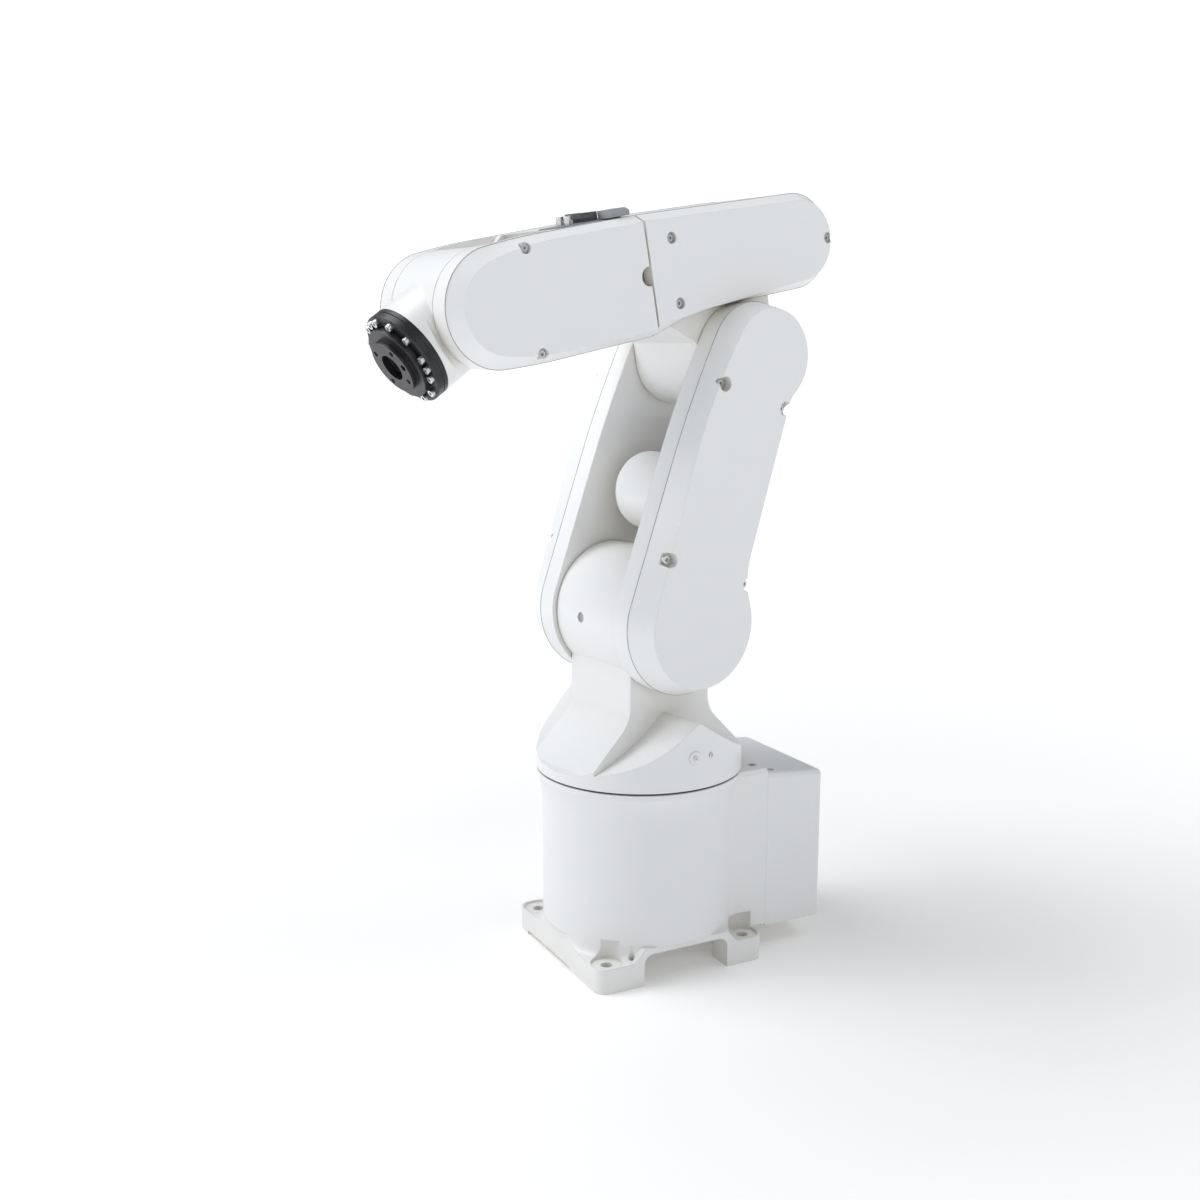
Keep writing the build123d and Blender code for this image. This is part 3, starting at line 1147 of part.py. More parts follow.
WORLD = Location((0, 0, 0))
PARTS = [
    ("base_casting", WORLD, base_casting),
    ("rear_box_cover", WORLD, rear_box_cover),
    ("rear_box_screws", WORLD, rear_box_screws),
    ("connector_panel", WORLD, connector_panel),
    ("main_connector", WORLD, main_connector),
    ("signal_connector", WORLD, signal_connector),
    ("air_fittings", WORLD, air_fittings),
    ("j1_motor", WORLD, j1_motor),
    ("j1_reducer_ring", WORLD, j1_reducer_ring),
    ("j1_output_hub", SHOULDER, j1_output_hub),
    ("shoulder_casting", SHOULDER, shoulder_casting),
    ("stop_screws", SHOULDER, stop_screws),
    ("drum_plug", SHOULDER, drum_plug),
    ("j2_motor", SHOULDER, j2_motor),
    ("j2_reducer_ring", SHOULDER, j2_reducer_ring),
    ("j2_bearing_race", SHOULDER, j2_bearing_race),
    ("j2_output_hub", UPPER_ARM, j2_output_hub),
    ("j2_support_stub", UPPER_ARM, j2_support_stub),
    ("upper_arm_frame", UPPER_ARM, upper_arm_frame),
    ("left_arm_cover", UPPER_ARM, left_arm_cover),
    ("right_arm_cover", UPPER_ARM, lambda: other_side(left_arm_cover())),
    ("arm_cover_screws", UPPER_ARM, arm_cover_screws),
    ("j3_motor", UPPER_ARM, j3_motor),
    ("j3_motor_cap", UPPER_ARM, j3_motor_cap),
    ("j3_motor_pulley", UPPER_ARM, j3_motor_pulley),
    ("j3_input_pulley", UPPER_ARM, j3_input_pulley),
    ("j3_belt", UPPER_ARM, j3_belt),
    ("j3_reducer_ring", UPPER_ARM, j3_reducer_ring),
    ("j3_support_stub", UPPER_ARM, j3_support_stub),
    ("j3_output_hub", FOREARM, j3_output_hub),
    ("j3_bearing_race", FOREARM, j3_bearing_race),
    ("elbow_casting", FOREARM, elbow_casting),
    ("left_elbow_cover", FOREARM, left_elbow_cover),
    ("right_elbow_cover", FOREARM, lambda: other_side(left_elbow_cover())),
    ("elbow_cover_screws", FOREARM, lambda: side_screws(BLOCK_SCREWS)),
    ("j4_motor", FOREARM, j4_motor),
    ("j4_reducer_ring", FOREARM, j4_reducer_ring),
    ("j4_output_hub", FOREARM, j4_output_hub),
    ("forearm_casting", FOREARM, forearm_casting),
    ("left_forearm_cover", FOREARM, left_forearm_cover),
    ("right_forearm_cover", FOREARM, lambda: other_side(left_forearm_cover())),
    ("forearm_cover_screws", FOREARM, lambda: side_screws(FORE_SCREWS)),
    ("socket_plate", FOREARM, socket_plate),
    ("tool_socket", FOREARM, tool_socket),
    ("socket_cap", FOREARM, socket_cap),
    ("air_ports", FOREARM, air_ports),
    ("j5_motor", FOREARM, j5_motor),
    ("j5_motor_pulley", FOREARM, j5_motor_pulley),
    ("j5_input_pulley", FOREARM, j5_input_pulley),
    ("j5_belt", FOREARM, j5_belt),
    ("j5_reducer_ring", FOREARM, j5_reducer_ring),
    ("j5_support_stub", FOREARM, j5_support_stub),
    ("j5_output_hub", WRIST, j5_output_hub),
    ("j5_bearing_race", WRIST, j5_bearing_race),
    ("wrist_casting", WRIST, wrist_casting),
    ("j6_motor", WRIST, j6_motor),
    ("bearing_ring", WRIST, bearing_ring),
    ("ring_screws", WRIST, ring_screws),
    ("tool_flange", WRIST, tool_flange),
]


def save(name, frame, shape):
    pieces = shape if isinstance(shape, (list, tuple)) else [shape]
    solids = [frame * solid for piece in pieces for solid in piece.solids()]
    node = solids[0] if len(solids) == 1 else Compound(children=solids)
    node.label = name
    export_step(node, f"parts/{name}.step")


os.makedirs("parts", exist_ok=True)
for part_name, part_frame, make in PARTS:
    save(part_name, part_frame, make())
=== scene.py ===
import json
import math

import bpy
from mathutils import Matrix, Vector


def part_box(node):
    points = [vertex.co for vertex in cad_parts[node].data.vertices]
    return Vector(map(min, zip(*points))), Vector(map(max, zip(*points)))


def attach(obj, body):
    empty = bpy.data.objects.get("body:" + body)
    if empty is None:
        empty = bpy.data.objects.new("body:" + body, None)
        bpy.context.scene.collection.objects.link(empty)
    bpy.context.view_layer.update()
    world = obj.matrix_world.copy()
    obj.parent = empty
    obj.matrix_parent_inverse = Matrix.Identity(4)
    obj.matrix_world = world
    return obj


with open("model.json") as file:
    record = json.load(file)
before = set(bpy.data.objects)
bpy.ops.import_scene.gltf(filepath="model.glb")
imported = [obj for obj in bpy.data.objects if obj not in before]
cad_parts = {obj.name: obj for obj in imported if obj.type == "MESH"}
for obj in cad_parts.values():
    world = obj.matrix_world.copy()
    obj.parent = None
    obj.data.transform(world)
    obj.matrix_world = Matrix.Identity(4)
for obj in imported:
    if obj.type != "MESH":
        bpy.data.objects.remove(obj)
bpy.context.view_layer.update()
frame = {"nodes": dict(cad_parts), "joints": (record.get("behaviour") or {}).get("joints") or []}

# Base casting
# The foot and the round column are one aluminium casting. It is shot-blasted, filled and sprayed
# with a thick glossy white enamel, which rounds every edge and leaves a very fine peel.

WHITE = (0.84, 0.85, 0.86, 1)
WHITE_IN_SHADE = (0.79, 0.765, 0.7, 1)
ENAMEL_ROUGHNESS = 0.36
CAST_EDGE = 0.0011
MOULDED_EDGE = 0.0006
ENAMEL_PEEL = 420


def new_group(name, inputs, outputs):
    """Node group with named sockets. Returns it with its input and output nodes."""
    group = bpy.data.node_groups.new(name, "ShaderNodeTree")
    for label, kind, value in inputs:
        socket = group.interface.new_socket(label, in_out="INPUT", socket_type=kind)
        socket.default_value = value
    for label, kind in outputs:
        group.interface.new_socket(label, in_out="OUTPUT", socket_type=kind)
    return group, group.nodes.new("NodeGroupInput"), group.nodes.new("NodeGroupOutput")


def object_noise(nodes, links, scale_socket, detail):
    """Noise that stays on the piece when it moves."""
    place = nodes.new("ShaderNodeTexCoord")
    noise = nodes.new("ShaderNodeTexNoise")
    noise.inputs["Detail"].default_value = detail
    links.new(place.outputs["Object"], noise.inputs["Vector"])
    links.new(scale_socket, noise.inputs["Scale"])
    return noise


def sprayed_coat():
    """Peel and pooling of a sprayed coat: a normal, a roughness and a mask for its thin places."""
    group, given, out = new_group(
        "sprayed_coat",
        [("Peel Scale", "NodeSocketFloat", 400.0), ("Peel Height", "NodeSocketFloat", 0.02),
         ("Edge Radius", "NodeSocketFloat", 0.0005), ("Roughness", "NodeSocketFloat", 0.3),
         ("Roughness Spread", "NodeSocketFloat", 0.06)],
        [("Normal", "NodeSocketVector"), ("Roughness", "NodeSocketFloat"), ("Thin", "NodeSocketFloat")])
    nodes = group.nodes
    links = group.links
    edge = nodes.new("ShaderNodeBevel")
    edge.samples = 8
    links.new(given.outputs["Edge Radius"], edge.inputs["Radius"])
    peel = object_noise(nodes, links, given.outputs["Peel Scale"], 2.0)
    bump = nodes.new("ShaderNodeBump")
    bump.inputs["Distance"].default_value = 0.001
    links.new(given.outputs["Peel Height"], bump.inputs["Strength"])
    links.new(peel.outputs["Fac"], bump.inputs["Height"])
    links.new(edge.outputs["Normal"], bump.inputs["Normal"])
    links.new(bump.outputs["Normal"], out.inputs["Normal"])
    broad_scale = nodes.new("ShaderNodeMath")
    broad_scale.operation = "MULTIPLY"
    broad_scale.inputs[1].default_value = 0.06
    links.new(given.outputs["Peel Scale"], broad_scale.inputs[0])
    broad = object_noise(nodes, links, broad_scale.outputs[0], 4.0)
    spread = nodes.new("ShaderNodeMath")
    spread.operation = "MULTIPLY_ADD"
    centre = nodes.new("ShaderNodeMath")
    centre.operation = "SUBTRACT"
    centre.inputs[1].default_value = 0.5
    links.new(broad.outputs["Fac"], centre.inputs[0])
    links.new(centre.outputs[0], spread.inputs[0])
    links.new(given.outputs["Roughness Spread"], spread.inputs[1])
    links.new(given.outputs["Roughness"], spread.inputs[2])
    links.new(spread.outputs[0], out.inputs["Roughness"])
    links.new(broad.outputs["Fac"], out.inputs["Thin"])
    return group


def painted_corner_shade():
    """Mask of painted shade in corners and seams, the places that light reaches badly."""
    group, given, out = new_group(
        "painted_corner_shade",
        [("Reach", "NodeSocketFloat", 0.01), ("Strength", "NodeSocketFloat", 1.0)],
        [("Mask", "NodeSocketFloat")])
    nodes = group.nodes
    links = group.links
    # Ambient occlusion turned into a mask for painted shade.
    shade = nodes.new("ShaderNodeAmbientOcclusion")
    shade.samples = 8
    links.new(given.outputs["Reach"], shade.inputs["Distance"])
    turned = nodes.new("ShaderNodeMath")
    turned.operation = "SUBTRACT"
    turned.inputs[0].default_value = 1.0
    links.new(shade.outputs["AO"], turned.inputs[1])
    scaled = nodes.new("ShaderNodeMath")
    scaled.operation = "MULTIPLY"
    scaled.use_clamp = True
    links.new(turned.outputs[0], scaled.inputs[0])
    links.new(given.outputs["Strength"], scaled.inputs[1])
    links.new(scaled.outputs[0], out.inputs["Mask"])
    return group


SPRAYED_COAT = sprayed_coat()
# Group that masks painted shade into corners, from ambient occlusion.
PAINTED_CORNER_SHADE = painted_corner_shade()


def new_material(name):
    """Empty material and its Principled shader."""
    material = bpy.data.materials.new(name)
    material.use_nodes = True
    shader = material.node_tree.nodes["Principled BSDF"]
    return material, material.node_tree.nodes, material.node_tree.links, shader


def add_group(nodes, group, **values):
    """Group placed in a material. Values are given by socket name, with _ for a space."""
    node = nodes.new("ShaderNodeGroup")
    node.node_tree = group
    for name, value in values.items():
        node.inputs[name.replace("_", " ")].default_value = value
    return node


def mix_colours(nodes, links, mask, low, high):
    """Mix node that goes from the low colour to the high one as the mask rises."""
    mix = nodes.new("ShaderNodeMix")
    mix.data_type = "RGBA"
    for socket, colour in ((mix.inputs[6], low), (mix.inputs[7], high)):
        if isinstance(colour, tuple):
            socket.default_value = colour
        else:
            links.new(colour, socket)
    links.new(mask, mix.inputs[0])
    return mix.outputs[2]


def white_coat(name, roughness, peel_height, peel_scale, edge):
    """Glossy white enamel, a shade greyer where the coat is thin, with painted warm shade in its corners."""
    material, nodes, links, shader = new_material(name)
    coat = add_group(nodes, SPRAYED_COAT, Peel_Scale=peel_scale, Peel_Height=peel_height,
                     Edge_Radius=edge, Roughness=roughness)
    # Painted warm shade: the white turns to WHITE_IN_SHADE in corners and seams.
    corner_shade_node = add_group(nodes, PAINTED_CORNER_SHADE, Reach=0.04, Strength=0.9)
    thin = tuple(c * 0.985 for c in WHITE[:3]) + (1,)
    body = mix_colours(nodes, links, coat.outputs["Thin"], WHITE, thin)
    colour = mix_colours(nodes, links, corner_shade_node.outputs["Mask"], body, WHITE_IN_SHADE)
    links.new(colour, shader.inputs["Base Color"])
    links.new(coat.outputs["Roughness"], shader.inputs["Roughness"])
    links.new(coat.outputs["Normal"], shader.inputs["Normal"])
    shader.inputs["Coat Weight"].default_value = 0.2
    shader.inputs["Coat Roughness"].default_value = 0.26
    return material


def dress(material, *names):
    """CAD nodes take a material in place of their own."""
    for name in names:
        mesh = frame["nodes"][name].data
        mesh.materials.clear()
        mesh.materials.append(material)


cast_white = white_coat("cast_white_enamel", ENAMEL_ROUGHNESS, 0.035, ENAMEL_PEEL, CAST_EDGE)
dress(cast_white, "base_casting")

# Rear box cover
# The deep cover behind the column hides the connectors' wiring. It is moulded and sprayed with the
# same white, with a slightly finer skin than the castings.

moulded_white = white_coat("moulded_white_enamel", 0.4, 0.025, 620, MOULDED_EDGE)
dress(moulded_white, "rear_box_cover")

# Turntable seal
# A black felt ring closes the gap between the column and the turntable. It is pressed on the
# column's rim and shows as the dark line all round.

SEAL_OUTER = 0.0817
SEAL_INNER = 0.0765
SEAL_CLEARANCE = 0.0002
SEAL_SIDES = 128
RIM_OVER_RING = 0.0003


def turned_mesh(name, outline, sides, centres=((0, 0, 0),)):
    """Turned pieces about Z. The outline is a closed list of (radius, height), one copy per centre."""
    points = []
    faces = []
    count = len(outline)
    for centre in centres:
        first = len(points)
        for i in range(sides):
            angle = 2 * math.pi * i / sides
            for radius, height in outline:
                points.append((centre[0] + radius * math.cos(angle), centre[1] + radius * math.sin(angle),
                               centre[2] + height))
        for i in range(sides):
            here = first + i * count
            there = first + (i + 1) % sides * count
            for k in range(count):
                after = (k + 1) % count
                faces.append((here + k, there + k, there + after, here + after))
    mesh = bpy.data.meshes.new(name)
    mesh.from_pydata(points, [], faces)
    mesh.validate()
    mesh.shade_smooth()
    mesh.set_sharp_from_angle(angle=math.radians(35))
    return mesh


def add_piece(name, mesh, place, material, body):
    """Piece of the scene, set in place in the row frame, that rides on a body."""
    piece = bpy.data.objects.new(name, mesh)
    bpy.context.scene.collection.objects.link(piece)
    piece.matrix_world = place
    mesh.materials.append(material)
    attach(piece, body)
    return piece


def seal_outline(inner, outer, low, high, edge=0.0002):
    """Section of a flat ring with its four edges broken."""
    return [(inner, low + edge), (inner + edge, low), (outer - edge, low), (outer, low + edge),
            (outer, high - edge), (outer - edge, high), (inner + edge, high), (inner, high - edge)]


seal_felt, nodes, links, shader = new_material("black_felt")
skin = add_group(nodes, SPRAYED_COAT, Peel_Scale=2200, Peel_Height=0.5, Edge_Radius=0.0002,
                 Roughness=0.9, Roughness_Spread=0.1)
links.new(mix_colours(nodes, links, skin.outputs["Thin"], (0.03, 0.03, 0.03, 1), (0.06, 0.058, 0.055, 1)),
          shader.inputs["Base Color"])
links.new(skin.outputs["Roughness"], shader.inputs["Roughness"])
links.new(skin.outputs["Normal"], shader.inputs["Normal"])
shader.inputs["Sheen Weight"].default_value = 0.3
column_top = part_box("j1_reducer_ring")[1].z + RIM_OVER_RING
table_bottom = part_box("shoulder_casting")[0].z
outline = seal_outline(SEAL_INNER, SEAL_OUTER, column_top + SEAL_CLEARANCE, table_bottom - SEAL_CLEARANCE)
seal = turned_mesh("turntable_seal", outline, SEAL_SIDES)
add_piece("turntable_seal", seal, Matrix.Identity(4), seal_felt, "base")

# Connector panel and air fittings
# A pressed steel plate closes the box. It carries the plug for the motors, the round plug for the
# tool signals and the push-in air fittings, with nickel collars.

panel_grey, nodes, links, shader = new_material("panel_grey_paint")
coat = add_group(nodes, SPRAYED_COAT, Peel_Scale=500, Peel_Height=0.08, Edge_Radius=0.0004,
                 Roughness=0.42)
# Painted shade: the grey darkens towards 0.25 in the panel's corners and recesses.
corner_shade_node = add_group(nodes, PAINTED_CORNER_SHADE, Reach=0.006, Strength=0.8)
links.new(mix_colours(nodes, links, corner_shade_node.outputs["Mask"], (0.52, 0.53, 0.54, 1), (0.25, 0.25, 0.25, 1)),
          shader.inputs["Base Color"])
links.new(coat.outputs["Roughness"], shader.inputs["Roughness"])
links.new(coat.outputs["Normal"], shader.inputs["Normal"])
dress(panel_grey, "connector_panel")


def moulded_plastic(name, colour, worn, roughness, grain):
    """Spark-eroded plastic: a fine even grain, paler and duller on its high spots, with painted shade
    darkening its corners.
    """
    material, nodes, links, shader = new_material(name)
    skin = add_group(nodes, SPRAYED_COAT, Peel_Scale=grain, Peel_Height=0.22, Edge_Radius=0.0003,
                     Roughness=roughness, Roughness_Spread=0.15)
    # Painted shade: the colour darkens to less than half in corners.
    corner_shade_node = add_group(nodes, PAINTED_CORNER_SHADE, Reach=0.004, Strength=0.9)
    shade_colour = tuple(c * 0.45 for c in colour[:3]) + (1,)
    body = mix_colours(nodes, links, skin.outputs["Thin"], colour, worn)
    links.new(mix_colours(nodes, links, corner_shade_node.outputs["Mask"], body, shade_colour), shader.inputs["Base Color"])
    links.new(skin.outputs["Roughness"], shader.inputs["Roughness"])
    links.new(skin.outputs["Normal"], shader.inputs["Normal"])
    return material


dark_plastic = moulded_plastic("dark_grey_plastic", (0.085, 0.09, 0.1, 1), (0.12, 0.125, 0.135, 1), 0.4,
                               900)


def machined_metal(name, colour, dull, roughness, stretch, metallic=1.0):
    """Turned or ground metal: fine marks along one direction, with painted shade darkening its corners."""
    material, nodes, links, shader = new_material(name)
    place = nodes.new("ShaderNodeTexCoord")
    lay = nodes.new("ShaderNodeMapping")
    lay.inputs["Scale"].default_value = stretch
    marks = nodes.new("ShaderNodeTexNoise")
    marks.inputs["Scale"].default_value = 300
    marks.inputs["Detail"].default_value = 3
    links.new(place.outputs["Object"], lay.inputs["Vector"])
    links.new(lay.outputs["Vector"], marks.inputs["Vector"])
    skin = add_group(nodes, SPRAYED_COAT, Peel_Scale=1500, Peel_Height=0.03, Edge_Radius=0.00025,
                     Roughness=roughness, Roughness_Spread=0.12)
    bump = nodes.new("ShaderNodeBump")
    bump.inputs["Strength"].default_value = 0.06
    bump.inputs["Distance"].default_value = 0.0003
    links.new(marks.outputs["Fac"], bump.inputs["Height"])
    links.new(skin.outputs["Normal"], bump.inputs["Normal"])
    # Painted shade: the colour darkens in corners and recesses.
    corner_shade_node = add_group(nodes, PAINTED_CORNER_SHADE, Reach=0.002, Strength=0.5)
    body = mix_colours(nodes, links, marks.outputs["Fac"], colour, dull)
    shade_colour = tuple(c * 0.4 for c in dull[:3]) + (1,)
    links.new(mix_colours(nodes, links, corner_shade_node.outputs["Mask"], body, shade_colour), shader.inputs["Base Color"])
    links.new(skin.outputs["Roughness"], shader.inputs["Roughness"])
    links.new(bump.outputs["Normal"], shader.inputs["Normal"])
    shader.inputs["Metallic"].default_value = metallic
    return material


nickel = machined_metal("nickel_plate", (0.74, 0.74, 0.75, 1), (0.6, 0.6, 0.61, 1), 0.24, (1, 1, 8))
dress(dark_plastic, "main_connector")
dress(nickel, "signal_connector", "air_fittings")

# Contacts and collars at the back
# Gold plated pins stand in the two plugs, and each air fitting has a black release collar that is
# pushed in to free the hose.

PIN_R = 0.0006
PIN_LENGTH = 0.0025
PIN_SIDES = 12
MAIN_PIN_ROWS = 3
MAIN_PIN_COLUMNS = 9
MAIN_PIN_PITCH = 0.0038
MAIN_PIN_DEPTH = 0.0041
SIGNAL_PINS = 10
SIGNAL_PIN_CIRCLE_R = 0.0037
SIGNAL_PIN_DEPTH = 0.0031
COLLAR_R = 0.0045
COLLAR_BORE_R = 0.0022
COLLAR_RISE = 0.0016
COLLAR_WALL = 0.0007
COLLAR_SLEEVE = 0.003
COLLAR_STANDOFF = 0.0002
COLLAR_SIDES = 36

gold = machined_metal("gold_plate", (0.83, 0.62, 0.3, 1), (0.7, 0.5, 0.22, 1), 0.25, (8, 8, 1))


def back_frame(node, depth):
    """Frame on the middle of a piece of the panel, set in from its outer end, with Z out of the back."""
    low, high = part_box(node)
    place = Vector((low.x + depth, (low.y + high.y) / 2, (low.z + high.z) / 2))
    return Matrix.Translation(place) @ Matrix.Rotation(math.radians(-90), 4, "Y")


def pin_outline(radius, length):
    """Half section of a contact pin with a rounded tip."""
    return [(0.0, 0.0), (radius, 0.0), (radius, length - radius), (radius * 0.7, length - radius * 0.3),
            (0.00001, length)]


def ring_of_places(radius, count, first=0.0):
    """Places spaced evenly round Z. The first is turned by an angle in degrees."""
    angles = [math.radians(first) + 2 * math.pi * i / count for i in range(count)]
    return [(radius * math.cos(angle), radius * math.sin(angle), 0) for angle in angles]


main_pins = [((i - (MAIN_PIN_ROWS - 1) / 2) * MAIN_PIN_PITCH,
              (k - (MAIN_PIN_COLUMNS - 1) / 2) * MAIN_PIN_PITCH, 0)
             for i in range(MAIN_PIN_ROWS) for k in range(MAIN_PIN_COLUMNS)]
add_piece("main_pins", turned_mesh("main_pins", pin_outline(PIN_R, PIN_LENGTH), PIN_SIDES, main_pins),
          back_frame("main_connector", MAIN_PIN_DEPTH), gold, "base")
signal_pins = ring_of_places(SIGNAL_PIN_CIRCLE_R, SIGNAL_PINS)
add_piece("signal_pins", turned_mesh("signal_pins", pin_outline(PIN_R, PIN_LENGTH), PIN_SIDES, signal_pins),
          back_frame("signal_connector", SIGNAL_PIN_DEPTH), gold, "base")


def collar_outline(bore, outer, rise):
    """Section of a push-in collar: a sleeve in the fitting with a rounded flange on top."""
    sleeve = bore + COLLAR_WALL
    return [(bore, -COLLAR_SLEEVE), (sleeve, -COLLAR_SLEEVE), (sleeve, COLLAR_STANDOFF),
            (outer, COLLAR_STANDOFF), (outer, rise * 0.6), (outer - 0.0006, rise),
            (bore + 0.0004, rise), (bore, rise - 0.0004)]


low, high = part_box("air_fittings")
fitting_radius = (high.y - low.y) / 2
fitting_step = (high.z - low.z - 2 * fitting_radius * math.cos(math.radians(30))) / 2
for i in range(3):
    middle = back_frame("air_fittings", 0) @ Matrix.Translation(((i - 1) * fitting_step, 0, 0))
    outline = collar_outline(COLLAR_BORE_R, COLLAR_R, COLLAR_RISE)
    collar = turned_mesh(f"release_collar_{i + 1}", outline, COLLAR_SIDES)
    add_piece(f"release_collar_{i + 1}", collar, middle, dark_plastic, "base")

# Cover screws
# Socket head screws of zinc plated steel, turned down into recesses. The plating is a dull blue-grey silver,
# and painted shade darkens the socket.

zinc = machined_metal("zinc_plate", (0.72, 0.73, 0.75, 1), (0.6, 0.61, 0.63, 1), 0.34, (6, 6, 1))
dress(zinc, "rear_box_screws", "arm_cover_screws", "elbow_cover_screws", "forearm_cover_screws",
      "stop_screws")

# First joint
# A servo motor stands in the column and drives the turntable through a strain wave reducer. The
# motor case is black anodised aluminium, and the reducer is ground steel.

motor_black = machined_metal("black_anodised_case", (0.035, 0.035, 0.04, 1), (0.06, 0.06, 0.065, 1),
                             0.38, (1, 1, 12), metallic=0.6)
ground_steel = machined_metal("ground_steel", (0.6, 0.6, 0.62, 1), (0.45, 0.45, 0.47, 1), 0.26,
                              (1, 1, 10))
dress(motor_black, "j1_motor", "j2_motor", "j3_motor", "j4_motor", "j5_motor", "j6_motor")
dress(ground_steel, "j1_reducer_ring", "j1_output_hub", "j2_reducer_ring", "j2_output_hub",
      "j2_bearing_race", "j2_support_stub", "j3_reducer_ring", "j3_output_hub", "j3_bearing_race",
      "j3_support_stub", "j4_reducer_ring", "j4_output_hub", "j5_reducer_ring", "j5_output_hub",
      "j5_bearing_race", "j5_support_stub")

# Shoulder
# The turntable and its neck are one white casting, which carries the drum of the second joint
# between the arm's plates.

dress(cast_white, "shoulder_casting")

# Drum plug
# A soft grey plug closes the greasing hole in the front of the drum.

plug_grey = moulded_plastic("soft_grey_plug", (0.4, 0.41, 0.41, 1), (0.46, 0.46, 0.46, 1), 0.6, 700)
dress(plug_grey, "drum_plug")

# Upper arm
# Two side plates joined by a web at the back, cast in one and sprayed white. Moulded covers close
# the belt on the left side and the bearing on the right.

dress(cast_white, "upper_arm_frame", "j3_motor_cap")
dress(moulded_white, "left_arm_cover", "right_arm_cover")

# Belts and pulleys
# Moulded timing belts in black rubber run on turned aluminium pulleys, under the side covers.

belt_rubber = moulded_plastic("timing_belt_rubber", (0.03, 0.03, 0.03, 1), (0.05, 0.05, 0.05, 1), 0.65,
                              800)
pulley_metal = machined_metal("turned_aluminium", (0.62, 0.63, 0.65, 1), (0.5, 0.5, 0.52, 1), 0.3,
                              (1, 12, 1))
dress(belt_rubber, "j3_belt", "j5_belt")
dress(pulley_metal, "j3_motor_pulley", "j3_input_pulley", "j5_motor_pulley", "j5_input_pulley")

# Elbow block
# The casting holds the roll drive of the forearm, with a moulded cover screwed to each side.

dress(cast_white, "elbow_casting")
dress(moulded_white, "left_elbow_cover", "right_elbow_cover")

# Roll seam seal
# A dark rubber ring fills the gap between the elbow block and the forearm, so that no light shows through
# where the forearm rolls. Its dark brown is painted shade, standing for the shade deep in the seam.

ROLL_SEAL_OUTER = 0.0405
ROLL_SEAL_INNER = 0.0355
ROLL_SEAL_HALF = 0.0006
ROLL_SEAM = 0.0008
ROLL_SEAL_SIDES = 96


def link_frame(start, forward, left):
    """Frame of a link: X along it, Y to the robot's left and Z up from both."""
    x = Vector(forward).normalized()
    y = Vector(left).normalized()
    z = x.cross(y)
    turn = Matrix((x, y, z)).transposed().to_4x4()
    return Matrix.Translation(Vector(start)) @ turn


joints = {joint["name"]: joint for joint in frame["joints"]}
# Painted shade: the ring's dark brown stands for the shade in the roll seam.
seam_shade_rubber = moulded_plastic("seam_shade_rubber", (0.07, 0.062, 0.055, 1), (0.1, 0.09, 0.08, 1), 0.6, 900)
roll = link_frame(joints["j4_roll"]["pos_m"], joints["j4_roll"]["axis"], joints["j5_bend"]["axis"])
outline = seal_outline(ROLL_SEAL_INNER, ROLL_SEAL_OUTER, -ROLL_SEAL_HALF, ROLL_SEAL_HALF)
seal = turned_mesh("roll_seal", outline, ROLL_SEAL_SIDES)
along = roll @ Matrix.Translation((ROLL_SEAM, 0, 0)) @ Matrix.Rotation(math.radians(90), 4, "Y")
add_piece("roll_seal", seal, along, seam_shade_rubber, "elbow")

# Forearm
# The barrel and the two cheeks of the wrist fork are one casting, with moulded covers over the
# belt side and the bearing side.

dress(cast_white, "forearm_casting")
dress(moulded_white, "left_forearm_cover", "right_forearm_cover")

# Tool socket on the forearm
# A grey plate on top carries the tool's signal socket with its wire latch, its sloped cap and two
# air ports.

light_plastic = moulded_plastic("light_grey_plastic", (0.3, 0.31, 0.33, 1), (0.36, 0.37, 0.39, 1), 0.42, 800)
dress(light_plastic, "socket_plate", "socket_cap")
dress(dark_plastic, "tool_socket")
dress(nickel, "air_ports")

# Cover gaskets
# A thin grey cord gasket lies in the joint between each cover and its casting, and shows as the
# fine line round the cover. Its path is the cover's own seating edge.

GASKET_R = 0.00026
SAME_LEVEL = 0.00002

gasket_grey = moulded_plastic("gasket_grey", (0.3, 0.295, 0.285, 1), (0.36, 0.355, 0.34, 1), 0.7, 1500)


def seating_edge(node, inward):
    """Outer edge of the flat face that a cover seats with, as points in order."""
    mesh = frame["nodes"][node].data
    level = max(v.co.dot(inward) for v in mesh.vertices)
    flush = {v.index for v in mesh.vertices if v.co.dot(inward) > level - SAME_LEVEL}
    seated = [p for p in mesh.polygons if flush.issuperset(p.vertices)]
    key = {i: tuple(round(c, 6) for c in mesh.vertices[i].co) for p in seated for i in p.vertices}
    used = {}
    for p in seated:
        for i, k in p.edge_keys:
            pair = tuple(sorted((key[i], key[k])))
            used[pair] = used.get(pair, 0) + 1
    beside = {}
    for (a, b), times in used.items():
        if times == 1 and a != b:
            beside.setdefault(a, []).append(b)
            beside.setdefault(b, []).append(a)
    loops = []
    while beside:
        start = next(iter(beside))
        loop = [start]
        while beside.get(loop[-1]):
            step = beside[loop[-1]].pop()
            beside[step].remove(loop[-1])
            if not beside[loop[-1]]:
                del beside[loop[-1]]
            if step == start:
                break
            loop.append(step)
        beside = {point: ends for point, ends in beside.items() if ends}
        loops.append(loop)
    return max(loops, key=path_length)


def path_length(loop):
    """Length of a closed path."""
    return sum((Vector(a) - Vector(b)).length for a, b in zip(loop, loop[1:] + loop[:1]))


